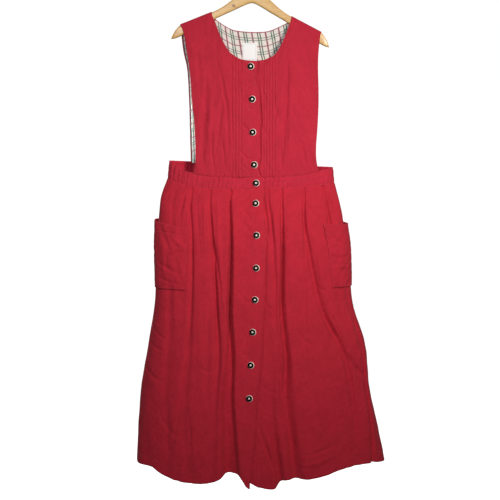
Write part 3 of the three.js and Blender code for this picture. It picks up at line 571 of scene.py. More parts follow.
def linear(colour: Colour) -> Linear:
    """Turns a display colour from 0 to 255 into a linear one with alpha."""
    parts = [c / 255 for c in colour]
    return (*[p / 12.92 if p <= 0.04045 else ((p + 0.055) / 1.055) ** 2.4 for p in parts], 1.0)


def shade(colour: Linear, share: float, lift: float = 0.0) -> Linear:
    """A linear colour made darker or paler."""
    return (*[min(part * share + lift, 1.0) for part in colour[:3]], 1.0)


class Finish:
    """A surface finish that is made into a material once."""

    name: str

    def material(self) -> bpy.types.Material:
        """The finish's material, made when it is first asked for."""
        found = bpy.data.materials.get(self.name)
        if found:
            return found
        made = bpy.data.materials.new(self.name)
        made.use_nodes = True
        g = Graph(made.node_tree)
        g.fill(made.node_tree.nodes["Principled BSDF"], **self.inputs(g))
        return made

    def inputs(self, g: Graph) -> dict[str, object]:
        """The shader's inputs, with the nodes before them."""
        raise NotImplementedError


@dataclass(frozen=True)
class Cotton(Finish):
    """Garment-dyed cotton twill with slubs, slow colour clouds and paler thread tops."""

    name: str
    colour: Colour
    threads: float = 1500.0
    twill: float = 0.5
    slub: float = 0.7
    cloud: float = 0.3
    rumple: float = 11.0
    sheen: float = 0.06

    def inputs(self, g: Graph) -> dict[str, object]:
        """The shader's inputs, with the nodes before them."""
        weave = g.group(
            weave_group(), Place=g.cut_place(), Threads_per_metre=self.threads, Twill=self.twill
        )
        base = linear(self.colour)
        pale = shade(base, 1.25, 0.008)
        slub = g.ramp(weave["Slub"], 0.35, 0.7)
        cloud = g.math("MULTIPLY", g.ramp(weave["Cloud"], 0.35, 0.7), self.cloud)
        tone = g.mix_color(g.math("MULTIPLY", slub, self.slub), base, pale)
        tone = g.mix_color(cloud, tone, shade(base, 0.62))
        tops = g.math("MULTIPLY", weave["Threads"], 0.12)
        height = g.math("ADD", weave["Threads"], g.math("MULTIPLY", slub, 0.8))
        height = g.math("ADD", height, g.math("MULTIPLY", weave["Rumple"], self.rumple))
        return dict(
            Base_Color=g.mix_color(tops, tone, pale),
            Roughness=0.85,
            Specular_IOR_Level=0.25,
            Sheen_Weight=self.sheen,
            Sheen_Roughness=0.45,
            Sheen_Tint=(1.0, 0.75, 0.75, 1.0),
            Normal=g.bumped(height, 0.5, 0.0004),
        )


@dataclass(frozen=True)
class Stripe:
    """One stripe of a plaid: where it lies in the repeat, how wide it is and its colour."""

    offset: float
    width: float
    colour: Colour
    upright: bool


@dataclass(frozen=True)
class Plaid(Finish):
    """Cotton woven in a traditional cream, green and red plaid."""

    name: str
    ground: Colour
    repeat: float
    stripes: tuple[Stripe, ...]
    threads: float = 1200.0
    upright_cover: float = 0.94
    level_cover: float = 0.78

    def inputs(self, g: Graph) -> dict[str, object]:
        """The shader's inputs, with the nodes before them."""
        place = g.cut_place()
        across, down = g.axes(place)[:2]
        tone: object = linear(self.ground)
        for stripe in self.stripes:
            mask = g.group(
                stripe_group(),
                Place=across if stripe.upright else down,
                Repeat=self.repeat * MM,
                Offset=stripe.offset * MM,
                Width=stripe.width * MM,
            )["Mask"]
            cover = self.upright_cover if stripe.upright else self.level_cover
            tone = g.mix_color(g.math("MULTIPLY", mask, cover), tone, linear(stripe.colour))
        weave = g.group(weave_group(), Place=place, Threads_per_metre=self.threads, Twill=0.0)
        slub = g.math("MULTIPLY", g.ramp(weave["Slub"], 0.3, 0.75), 0.2)
        return dict(
            Base_Color=g.mix_color(slub, tone, WHITE),
            Roughness=0.9,
            Specular_IOR_Level=0.2,
            Normal=g.bumped(weave["Threads"], 0.3, 0.0003),
        )


@dataclass(frozen=True)
class Tape(Finish):
    """Bare white woven tape with a thin woven border."""

    name: str
    colour: Colour
    border: Colour
    width: float
    height: float
    inset: float
    half_line: float = 0.5
    threads: float = 2600.0

    def beyond(self, g: Graph, place: Socket, size: float, sign: int) -> Socket:
        """How far a place lies outside the border, along one of the tape's directions."""
        middle = g.math("ABSOLUTE", g.math("ADD", place, sign * size * MM / 2))
        return g.math("SUBTRACT", middle, (size / 2 - self.inset) * MM)

    def inputs(self, g: Graph) -> dict[str, object]:
        """The shader's inputs, with the nodes before them."""
        place = g.cut_place()
        across, down = g.axes(place)[:2]
        side = self.beyond(g, across, self.width, -1)
        end = self.beyond(g, down, self.height, 1)
        away = g.math("ABSOLUTE", g.math("MAXIMUM", side, end))
        line = g.math("SUBTRACT", self.half_line * MM, away)
        line = g.math("MULTIPLY", g.math("MULTIPLY", line, 4000.0, clamp=True), 0.6)
        weave = g.group(weave_group(), Place=place, Threads_per_metre=self.threads, Twill=0.0)
        tone = g.mix_color(line, linear(self.colour), linear(self.border))
        tops = g.math("MULTIPLY", weave["Threads"], 0.1)
        return dict(
            Base_Color=g.mix_color(tops, tone, WHITE),
            Roughness=0.7,
            Sheen_Weight=0.2,
            Normal=g.bumped(weave["Threads"], 0.3, 0.0002),
        )


@dataclass(frozen=True)
class Beech(Finish):
    """Lacquered beech with grain along the hanger and a small knot."""

    name: str
    pale: Colour
    dark: Colour
    knot: Triple
    pore_colour: Colour = (120, 78, 40)
    knot_colour: Colour = (92, 50, 26)

    def inputs(self, g: Graph) -> dict[str, object]:
        """The shader's inputs, with the nodes before them."""
        place = g.object_place()
        grain = g.group(grain_group(), Place=place, Fineness=70.0)
        rings = g.math("MULTIPLY", g.ramp(grain["Rings"], 0.15, 1.0), 0.55)
        pores = g.math("MULTIPLY", g.ramp(grain["Pores"], 0.5, 0.75), 0.3)
        tone = g.mix_color(rings, linear(self.pale), linear(self.dark))
        tone = g.mix_color(pores, tone, linear(self.pore_colour))
        away = g.node("ShaderNodeVectorMath", operation="DISTANCE")
        g.feed(away.inputs[0], place)
        g.feed(away.inputs[1], tuple(v * MM for v in self.knot))
        away = g.math("MULTIPLY", away.outputs["Value"], 170.0)
        knot = g.math("SUBTRACT", 1.0, away, clamp=True)
        return dict(
            Base_Color=g.mix_color(knot, tone, linear(self.knot_colour)),
            Roughness=g.math("ADD", 0.34, g.math("MULTIPLY", pores, 0.5)),
            Coat_Weight=0.15,
            Coat_Roughness=0.25,
            Normal=g.bumped(grain["Pores"], 0.12, 0.0004),
        )


@dataclass(frozen=True)
class Steel(Finish):
    """Bright steel with a few dull spots."""

    name: str
    colour: Colour
    roughness: float = 0.16
    metallic: float = 1.0
    spot_colour: Colour = (120, 118, 114)

    def inputs(self, g: Graph) -> dict[str, object]:
        """The shader's inputs, with the nodes before them."""
        spots = g.noise(g.object_place(), 300.0, 4.0)
        dull = g.ramp(spots, 0.45, 0.8)
        shown = g.math("MULTIPLY", dull, 0.3)
        return dict(
            Base_Color=g.mix_color(shown, linear(self.colour), linear(self.spot_colour)),
            Metallic=self.metallic,
            Roughness=g.math("ADD", self.roughness, g.math("MULTIPLY", dull, 0.25)),
            Normal=g.bumped(spots, 0.05, 0.0002),
        )


@dataclass(frozen=True)
class Horn(Finish):
    """Polished horn with streaks of two tones."""

    name: str
    colour: Colour
    streak: Colour
    roughness: float = 0.25
    gloss: float = 0.5

    def inputs(self, g: Graph) -> dict[str, object]:
        """The shader's inputs, with the nodes before them."""
        grain = g.group(grain_group(), Place=g.object_place(), Fineness=420.0)
        streaks = g.math("MULTIPLY", grain["Rings"], 0.5)
        return dict(
            Base_Color=g.mix_color(streaks, linear(self.colour), linear(self.streak)),
            Specular_IOR_Level=self.gloss,
            Roughness=g.math("ADD", self.roughness, g.math("MULTIPLY", grain["Pores"], 0.15)),
            Normal=g.bumped(grain["Pores"], 0.08, 0.0002),
        )


@dataclass(frozen=True)
class Thread(Finish):
    """Twisted sewing thread."""

    name: str
    colour: Colour

    def inputs(self, g: Graph) -> dict[str, object]:
        """The shader's inputs, with the nodes before them."""
        fuzz = g.noise(g.object_place(), 2500.0, 2.0)
        base = linear(self.colour)
        return dict(
            Base_Color=g.mix_color(g.ramp(fuzz, 0.3, 0.8), base, shade(base, 1.3, 0.01)),
            Roughness=0.6,
            Sheen_Weight=0.4,
            Normal=g.bumped(fuzz, 0.3, 0.0002),
        )


CREAM = (230, 219, 208)
GREEN = (18, 84, 62)
MAGENTA = (140, 20, 66)
BODICE_COTTON = Cotton("red_cotton_bodice", (184, 31, 52))
SKIRT_COTTON = Cotton("red_cotton_skirt", (190, 30, 50))
BAND_COTTON = Cotton("red_cotton_band", (192, 34, 56), slub=0.5)
PLAID = Plaid(
    "cream_plaid_cotton",
    CREAM,
    36.5,
    (
        Stripe(0.0, 3.6, GREEN, True),
        Stripe(6.4, 3.6, GREEN, True),
        Stripe(21.5, 4.6, MAGENTA, True),
        Stripe(0.0, 3.2, MAGENTA, False),
        Stripe(16.0, 2.4, GREEN, False),
        Stripe(22.0, 2.4, GREEN, False),
    ),
)
LABEL_TAPE = Tape("white_woven_tape", (246, 244, 240), (150, 150, 156), 38.0, 46.0, 3.0)
LACQUERED_BEECH = Beech("lacquered_beech", (226, 184, 116), (198, 144, 76), (-54.0, -6.0, -116.0))
BRIGHT_STEEL = Steel("bright_steel", (206, 208, 210))
DARK_HORN = Horn("dark_horn", (8, 2, 1), (24, 8, 5), 0.5, 0.03)
# pale horn of the button rims; where a rim shows wider at the right it is a painted glint
PALE_HORN_AND_GLINT = Horn("pale_horn_and_glint", (244, 234, 220), (250, 244, 234), 0.35)
WHITE_METAL = Steel("white_metal", (238, 230, 214), 0.45, 0.35)
RED_THREAD = Thread("red_thread", (138, 24, 37))


# -------- dressing


def dress_piece(piece: bpy.types.Object, finish: Finish, slot: Slot, *nodes: str) -> None:
    """Gives a piece its finish, its body and the frame parts that it stands for.

    Args:
        piece: The finished piece.
        finish: Its finish, unless it has its materials already.
        slot: The record's slot; not used.
        *nodes: The parts that it replaces.
    """
    if not piece.data.materials:
        piece.data.materials.append(finish.material())
    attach(piece, "root")
    if nodes:
        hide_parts(*nodes)
    log.info("%s: %d faces", piece.name, len(piece.data.polygons))


def hang_cloth(
    name: str,
    surface: Surface,
    finish: Finish,
    node: str,
    lies_on: str | None = None,
    slot: Slot = Slot.CLOTH,
    thickness: float = CLOTH,
) -> None:
    """Args:
        name: The piece's name.
        surface: Its outside.
        finish: Its finish.
        node: The part that it replaces.
        lies_on: The piece that it hangs on, or None where it is gathered into a seam; not used.
        slot: The record's slot; not used.
        thickness: The cloth's thickness.
    """
    piece = wall(name, surface, thickness)
    flat, area = surface.cut()
    dress_piece(piece, finish, slot, node)


# -------- the dress's plan
SKIRT_RING: Columns = {
    "v": (0, 0.06, 0.12, 0.2, 0.3, 0.43, 0.57, 0.72, 0.86, 1),
    "left": (233, 250, 256, 261, 264, 270, 287, 308, 319, 326),
    "right": (216, 228, 238, 250, 258, 269, 302, 315, 339, 361),
    "front": (40, 50, 60, 70, 79, 88, 96, 103, 107, 110),
    "back": (33, 38, 42, 45, 48, 52, 55, 58, 60, 62),
}
BAND_RING: Columns = {
    "v": (0, 1),
    "left": (228, 233),
    "right": (211, 216),
    "front": (38, 40),
    "back": (33, 33),
}
BAND_TOP: Columns = {
    "across": (0, 0.05, 0.1, 0.16, 0.22, 0.3, 0.54, 0.77, 0.87, 0.96, 1),
    "z": (-519, -530, -543, -551, -557, -561, -562, -557, -549, -540, -537),
}
BAND_LOW: Columns = {
    "across": (0, 0.05, 0.1, 0.17, 0.25, 0.35, 0.5, 0.57, 0.68, 0.79, 0.9, 1),
    "z": (-566, -573, -581, -589, -593, -595, -595, -592, -591, -589, -584, -579),
}
BACK_BAND_TOP: Columns = {"across": (0, 1), "z": (-519, -537)}
BACK_BAND_LOW: Columns = {"across": (0, 1), "z": (-566, -579)}
RIGHT_HEM: Columns = {
    "across": (
        0, 0.116, 0.152, 0.188, 0.233, 0.286, 0.33,
        0.363, 0.38, 0.41, 0.425, 0.437, 0.449, 0.462,
    ),
    "z": (
        -1342, -1340, -1355, -1366, -1373, -1376, -1372,
        -1361, -1351, -1350, -1354, -1366, -1381, -1388,
    ),
}
LEFT_HEM: Columns = {
    "across": (0.44, 0.464, 0.496, 0.548, 0.571, 0.609, 0.67, 0.718, 0.79, 0.865, 1),
    "z": (-1371, -1372, -1383, -1387, -1368, -1362, -1361, -1354, -1336, -1329, -1342),
}
BACK_HEM: Columns = {"across": (0, 0.5, 1), "z": (-1342, -1350, -1342)}
SKIRT_PLACKET: Columns = {
    "v": (0, 0.06, 0.14, 0.23, 0.39, 0.52, 0.64, 0.81, 0.95, 1),
    "across": (0.568, 0.568, 0.567, 0.555, 0.54, 0.517, 0.504, 0.488, 0.467, 0.462),
}
SKIRT_UNDERLAP: Columns = {"v": (0, 0.6, 0.8, 1), "width": (40, 40, 26, 13)}
BODICE_PLACKET: Columns = {
    "z": (-562, -541, -512, -486, -444, -413, -382, -335, -304, -261),
    "x": (15, 7, 13, 11, 12, 15, 13, 7, 3, 7),
}


def read(table: Columns, key: str, column: str, at: Array) -> Array:
    """Reads a column of a table at places in its key column."""
    return read_curve(table[key], table[column], at)


@dataclass
class PlanStack:
    """Half plan sections of the dress, stacked from the top (v = 0) to the foot (v = 1)."""

    sizes: Columns
    facing: Facing
    levels: int = 161
    samples: int = 601

    def __post_init__(self) -> None:
        """Works out every section at even shares of its running length."""
        turn = np.linspace(0, np.pi, self.samples)
        u = -np.sign(np.cos(turn)) * np.abs(np.cos(turn)) ** (2 / ROUNDNESS)
        w = np.sin(turn) ** (2 / ROUNDNESS)
        side = self.facing.value
        way = "front" if self.facing is Facing.FRONT else "back"
        self.v = np.linspace(0, 1, self.levels)
        sections, lengths = [], []
        for v in self.v:
            left, right, depth = (read(self.sizes, "v", key, v) for key in ("left", "right", way))
            half = (left + right) / 2
            x = (right - left) / 2 + half * u
            y = -side * depth * w
            nx = np.sign(u) * np.abs(u) ** (ROUNDNESS - 1) / half
            ny = -side * w ** (ROUNDNESS - 1) / depth
            size = np.hypot(nx, ny)
            run = np.concatenate([[0], np.cumsum(np.hypot(np.diff(x), np.diff(y)))])
            even = np.linspace(0, run[-1], self.samples)
            sections.append([np.interp(even, run, part) for part in (x, y, nx / size, ny / size)])
            lengths.append(run[-1])
        self.sections = np.array(sections)
        self.length = np.array(lengths)

    def run(self, v: Array) -> Array:
        """The running length of the half section at a level."""
        return np.interp(v, self.v, self.length)

    def point(self, v: Array, across: Array, inward: Array) -> tuple[Array, Array]:
        """Places on the sections.

        Args:
            v: Levels.
            across: Shares of the running length, from the viewer's left.
            inward: Distances into the dress.

        Returns:
            x and y.
        """
        v, across, inward = np.broadcast_arrays(v, across, inward)
        row = np.clip(v, 0, 1) * (self.levels - 1)
        column = np.clip(across, 0, 1) * (self.samples - 1)
        j = np.minimum(row.astype(int), self.levels - 2)
        i = np.minimum(column.astype(int), self.samples - 2)
        s, t = row - j, column - i
        x, y, nx, ny = (
            mix(
                mix(self.sections[j, k, i], self.sections[j, k, i + 1], t),
                mix(self.sections[j + 1, k, i], self.sections[j + 1, k, i + 1], t),
                s,
            )
            for k in range(4)
        )
        return x - nx * inward, y - ny * inward

    def across_at(self, v: float, x: Array) -> Array:
        """How far across the section at a level a value of x lies."""
        j = round(v * (self.levels - 1))
        return np.interp(x, self.sections[j, 0], np.linspace(0, 1, self.samples))


# -------- skirt

SEAM_DIP = 1.0  # how far a side seam draws the cloth in
SEAM_HALF = 3.0  # how wide that dip is on each side of the seam
FOLD_LEVELS = (0, 0.15, 0.4, 0.7, 1)
FULL_LEAN = 0.8  # how far a lean of 1 moves a fold's bottom, as a share of its half width


def seam_dip(place: Array, length: Array) -> Array:
    """How far the side seams, at both ends of a running length, draw the cloth in."""
    return SEAM_DIP * bump(np.minimum(place, length - place) / SEAM_HALF)


def lap_step(past: Array, start: float, width: float) -> Array:
    """How far the placket presses in what lies under it.

    Args:
        past: Distances past the placket's edge.
        start: How far past the edge the cloth begins to come out again.
        width: How wide the step is.

    Returns:
        Distances into the dress.
    """
    return (CLOTH + LAP) * (1 - ease((past - start) / width))


@dataclass(frozen=True)
class Fold:
    """A fold of the skirt at five levels: where it runs, how deep and half how wide it is.

    lean turns its bottom towards the viewer's left (-1) or right (1), so that one of its
    sides falls steeply.
    """

    across: Row
    depth: Row
    half: Row
    lean: float = 0.0

    def press(self, v: Array, place: Array, length: Array) -> Array:
        """How far the fold pushes the cloth in."""
        center = read_curve(FOLD_LEVELS, self.across, v) * length
        t = (place - center) / read_curve(FOLD_LEVELS, self.half, v)
        t = np.clip(t, -1, 1)
        t = np.clip(t - self.lean * FULL_LEAN * (1 - t * t), -1, 1)
        return read_curve(FOLD_LEVELS, self.depth, v) * bump(t)


@dataclass
class Skirt:
    """The gathered skirt: two fronts that lap at the placket, and a pleated back."""

    rows: int = 200
    spacing: float = 3.0
    back_spacing: float = 3.7
    right_folds: tuple[Fold, ...] = (
        Fold((0.083, 0.119, 0.13, 0.165, 0.176), (1, 2, 3, 3, 3), (8, 10, 16, 24, 28)),
        Fold((0.173, 0.212, 0.224, 0.228, 0.256), (4, 7, 6, 3, 2), (5, 7, 11, 20, 24), 0.2),
        Fold((0.273, 0.308, 0.333, 0.344, 0.324), (4, 9, 12, 4, 2), (5, 8, 11, 17, 22), 0.4),
        Fold((0.387, 0.398, 0.388, 0.4, 0.405), (6, 15, 22, 12, 8), (5, 9, 13, 16, 22), 0.6),
        Fold((0.397, 0.397, 0.397, 0.402, 0.404), (0, 0, 0, 14, 24), (9, 9, 13, 24, 34), -0.5),
    )
    left_folds: tuple[Fold, ...] = (
        Fold((0.594, 0.6, 0.593, 0.56, 0.565), (3, 7, 3, 2, 14), (4, 8, 7, 12, 16)),
        Fold((0.674, 0.648, 0.625, 0.616, 0.628), (4, 10, 15, 14, 12), (4, 8, 11, 19, 26), -0.3),
        Fold((0.793, 0.756, 0.777, 0.855, 0.818), (4, 10, 10, 8, 2), (5, 9, 16, 18, 16), 0.4),
        Fold((0.899, 0.882, 0.871, 0.896, 0.854), (5, 8, 3, 1, 1), (5, 10, 12, 7, 8), 0.3),
        Fold((0.952, 0.942, 0.927, 0.936, 0.899), (1, 1, 3, 7, 9), (5, 7, 10, 10, 13)),
    )
    back_pleats: int = 8
    back_depth: Row = (4, 9, 11, 12, 13)
    back_half: Row = (5, 11, 16, 22, 26)
    hem_depth: float = 26.0
    shadow: float = 2.0
    gather_reach: float = 0.035
    hem_reach: float = 0.02
    seam_rest: float = 14.0
    facing_width: float = 31.0
    edge_stitch: float = 2.5

    def __post_init__(self) -> None:
        """Makes the plan sections of the front and the back."""
        self.front = PlanStack(SKIRT_RING, Facing.FRONT)
        self.back = PlanStack(SKIRT_RING, Facing.BACK)
        self.surfaces: dict[str, Surface] = {}

    def back_folds(self) -> tuple[Fold, ...]:
        """The back's pleats, unevenly spread."""
        folds = []
        for k in range(self.back_pleats):
            across = (k + 0.5) / self.back_pleats + 0.008 * math.sin(k * 2.3)
            drift = across + 0.006 * math.sin(k * 1.7)
            share = 1 + 0.2 * math.sin(k * 3.1)
            folds.append(
                Fold(
                    (across, across, drift, across, across),
                    tuple(depth * share for depth in self.back_depth),
                    self.back_half,
                    0.35 * math.sin(k * 1.3 + 0.6),
                )
            )
        return tuple(folds)

    def levels(self) -> Array:
        """Levels of the rows, with two tucked in under the waistband."""
        return np.concatenate([[-0.006, -0.003], np.linspace(0, 1, self.rows)])[:, None]

    def sheet(
        self,
        stack: PlanStack,
        folds: tuple[Fold, ...],
        edges: tuple[Columns, Columns],
        ends: tuple[Array, Array],
        creases: tuple[Crease, ...],
        seed: int,
        over: Array | None = None,
    ) -> Surface:
        """The outside of one panel.

        Args:
            stack: Its plan sections.
            folds: Its folds.
            edges: Heights of its waist seam and its hem.
            ends: Running lengths of its first and last columns, a value for each row.
            creases: Its listed creases.
            seed: Seed of its uneven waves.
            over: Running lengths of the placket's edge, where that lies over it.

        Returns:
            The surface.
        """
        v = self.levels()
        level = np.clip(v, 0, 1)
        length = stack.run(level)
        start, end = ends
        spacing = self.spacing if stack.facing is Facing.FRONT else self.back_spacing
        columns = int((end - start).max() / spacing)
        place = mix(start, end, np.linspace(0, 1, columns)[None, :])
        across = place / length
        inward = sum(fold.press(level, place, length) for fold in folds)
        top, low = (read(edge, "across", "z", across) for edge in edges)
        z = mix(top, low, v)
        x, _ = stack.point(level, across, inward)
        inward = inward + sum(crease.press(x, z) for crease in creases)
        inward = inward + self.waves(level, place, length, z, seed)
        inward = inward + seam_dip(place, length) + np.where(v < 0, TUCKED_IN, 0)
        if over is not None:
            past = place - over
            inward = inward + (lap_step(past, 1, 5) + self.shadow * bump((past - 4) / 5))
        x, y = stack.point(level, across, inward)
        return Surface(np.stack(np.broadcast_arrays(x, y, z), axis=-1), stack.facing)

    def waves(self, level: Array, place: Array, length: Array, z: Array, seed: int) -> Array:
        """Uneven waves: gathers at the waist, soft drape below and a rippled hem."""
        seam = ease(np.minimum(place, length - place) / self.seam_rest)
        near_waist = np.exp(-level / self.gather_reach)
        near_hem = np.exp(-(1 - level) / self.hem_reach)
        gathers = Ripple(seed, (9, 17), 30.0).at(place, z) * near_waist
        drape = Ripple(seed + 1, (55, 150), 7.0).at(place, z) * ease(level / 0.1)
        small = Ripple(seed + 2, (18, 45), 3.5).at(place, z) * ease(level / 0.06)
        rumple = Ripple(seed + 3, (24, 70), 0.9).at(place, z)
        hem = Ripple(seed + 4, (14, 30), 12.0).at(place, z) * near_hem
        return seam * (0.5 * gathers + 1.2 * drape + 0.22 * small + 0.35 * rumple + 0.4 * hem)

    def placket_edge(self) -> Array:
        """Running length of the placket's free edge at every row."""
        level = np.clip(self.levels(), 0, 1)
        return read(SKIRT_PLACKET, "v", "across", level) * self.front.run(level)

    def build(self) -> None:
        """Makes the three panels."""
        level = np.clip(self.levels(), 0, 1)
        edge = self.placket_edge()
        length = self.front.run(level)
        under = edge - read(SKIRT_UNDERLAP, "v", "width", level)
        none = np.zeros_like(edge)
        front, back = self.front, self.back
        right_edges, left_edges = (BAND_LOW, RIGHT_HEM), (BAND_LOW, LEFT_HEM)
        back_edges, back_ends = (BACK_BAND_LOW, BACK_HEM), (none, back.run(level))
        self.surfaces = {
            "skirt_front_right": self.sheet(
                front, self.right_folds, right_edges, (none, edge), RIGHT_CREASES, 11
            ),
            "skirt_front_left": self.sheet(
                front, self.left_folds, left_edges, (under, length), LEFT_CREASES, 23, edge
            ),
            "skirt_back": self.sheet(
                back, self.back_folds(), back_edges, back_ends, BACK_CREASES, 37
            ),
        }
        for node, surface in self.surfaces.items():
            hang_cloth(f"{node}_cloth", surface, SKIRT_COTTON, node)

    def stitch_lines(self) -> list[Array]:
        """Lines of stitching: the hems and both edges of the placket's facing."""
        placket = self.surfaces["skirt_front_right"]
        lines = [surface.beside_row(-1, self.hem_depth) for surface in self.surfaces.values()]
        lines += [placket.beside_column(-1, off) for off in (self.edge_stitch, self.facing_width)]
        return lines


RIGHT_CREASES = creases(
    (
        5.5, 9.0, (-63, -612), (-62, -658), (-60, -723), (-59, -801),
        (-61, -880), (-65, -967), (-68, -1055),
    ),
    (4.5, 5.0, (-115, -617), (-113, -666), (-107, -736), (-96, -801), (-87, -866)),
    (3.5, 3.0, (-165, -612), (-168, -640), (-171, -676), (-169, -723)),
    (9, -3.5, (-98, -611), (-94, -713), (-88, -818), (-77, -883)),
    (7, -3.0, (-88, -852), (-74, -915), (-67, -989)),
    (14, 2.2, (-111, -852), (-122, -962), (-125, -1095), (-120, -1201)),
    (6, 2.6, (-182, -601), (-190, -632), (-198, -664)),
    (5, -2.2, (-177, -606), (-183, -643), (-190, -674)),
    (7, 2.0, (-168, -862), (-172, -962), (-185, -1063), (-194, -1142)),
    (8, 2.0, (-194, -1137), (-207, -1228), (-229, -1314)),
    (9, 1.6, (-233, -1148), (-230, -1255), (-232, -1336)),
    (14, -1.4, (-217, -962), (-222, -1068), (-228, -1174)),
    (6, 1.8, (-174, -1169), (-170, -1241), (-168, -1303)),
    (5, 2.0, (-168, -1287), (-184, -1325), (-192, -1352)),
    (6, 1.6, (-275, -962), (-254, -983), (-233, -991)),
    (6, 1.6, (-283, -1002), (-259, -1020), (-241, -1023)),
    (8, 1.8, (-294, -1073), (-270, -1095), (-244, -1105)),
    (16, -1.4, (-148, -883), (-143, -1015), (-141, -1148)),
    (6, 1.6, (-43, -635), (-22, -653), (-6, -679)),
    (7, 1.5, (-48, -664), (-22, -690), (-1, -716)),
    (7, 1.5, (-43, -857), (-27, -883), (-6, -891)),
    (6, 1.4, (-38, -1015), (-22, -1031), (-1, -1020)),
    (6, 1.4, (-38, -1134), (-22, -1153), (-6, -1137)),
    (8, 1.5, (-154, -1057), (-127, -1073), (-101, -1068)),
    (10, 1.5, (-250, -1201), (-218, -1244), (-181, -1255)),
    (10, -3.0, (-85, -1201), (-75, -1268), (-70, -1325)),
    (6, -2.0, (-135, -611), (-132, -674), (-130, -752)),
    (6, 1.6, (-153, -611), (-148, -687), (-140, -784)),
)
LEFT_CREASES = creases(
    (5, 6.5, (73, -612), (75, -658), (75, -723), (73, -801), (72, -880), (70, -967)),
    (6, 6.5, (70, -967), (67, -1055), (70, -1147), (79, -1228)),
    (4.5, 5.0, (127, -612), (129, -658), (132, -723), (134, -796)),
    (3.5, 3.0, (176, -617), (180, -650), (187, -702), (198, -754)),
    (3.5, 2.4, (22, -601), (27, -632), (34, -671), (35, -723)),
    (6, 3.0, (22, -601), (31, -661), (41, -726), (49, -784), (52, -844)),
    (9, -3.0, (52, -635), (53, -726), (57, -818)),
    (14, -2.6, (91, -622), (94, -752), (96, -883)),
    (5, 2.6, (132, -601), (133, -687), (136, -784), (136, -883), (136, -1015)),
    (15, 4.5, (144, -700), (157, -784), (173, -862), (191, -930), (210, -989), (229, -1047)),
    (8, -3.5, (207, -915), (231, -968), (252, -1015)),
    (10, -4.0, (257, -930), (265, -989), (273, -1020)),
    (12, 4.5, (247, -1031), (268, -1068), (295, -1095)),
    (5, 2.4, (182, -601), (183, -637), (184, -679)),
    (7, 4.0, (189, -601), (207, -632), (222, -669)),
    (20, 4.5, (81, -1002), (89, -1095), (100, -1201), (105, -1282)),
    (8, 2.4, (121, -1295), (156, -1295), (190, -1282), (217, -1266)),
    (9, -1.8, (121, -1325), (169, -1319), (217, -1298)),
    (8, 3.2, (264, -1142), (275, -1215), (286, -1287)),
    (7, 2.6, (240, -1161), (254, -1228), (267, -1298)),
    (9, -2.0, (295, -1148), (304, -1215), (312, -1282)),
    (16, -2.2, (168, -1095), (179, -1174), (190, -1255)),
    (5, 3.0, (7, -1201), (28, -1268), (50, -1330), (58, -1363)),
    (8, -2.5, (23, -1215), (42, -1271), (58, -1330)),
    (14, -3.0, (57, -962), (60, -1068), (58, -1174)),
    (7, 1.4, (146, -635), (157, -658), (175, -679)),
    (7, 1.4, (152, -836), (178, -857), (204, -867)),
    (6, 1.4, (20, -873), (36, -899), (54, -915)),
    (9, 1.4, (112, -962), (131, -989), (157, -1002)),
    (7, 1.5, (20, -1108), (42, -1126), (68, -1129)),
)
BACK_CREASES = creases(
    (9, 3.0, (-196, -640), (-188, -760), (-176, -900)),
    (12, -3.0, (-150, -700), (-158, -840), (-170, -960)),
    (12, 3.4, (-96, -640), (-90, -800), (-84, -1010)),
    (13, 3.6, (-40, -720), (-44, -900), (-60, -1060), (-72, -1190)),
    (9, 2.6, (28, -650), (24, -780), (26, -930)),
    (14, -3.0, (70, -820), (82, -980), (88, -1160)),
    (12, 3.6, (140, -640), (150, -800), (168, -960), (190, -1090)),
    (10, 2.8, (206, -700), (222, -840), (236, -960)),
    (9, 3.0, (-230, -1040), (-244, -1160), (-252, -1290)),
    (8, 2.6, (-130, -1180), (-124, -1260), (-118, -1320)),
    (10, 3.2, (230, -1120), (262, -1220), (280, -1310)),
    (7, 2.4, (-20, -1220), (-8, -1280), (4, -1330)),
    (10, 1.8, (-110, -1050), (-60, -1066), (-10, -1060)),
    (9, 1.6, (60, -960), (110, -978), (150, -972)),
)
# -------- waistband


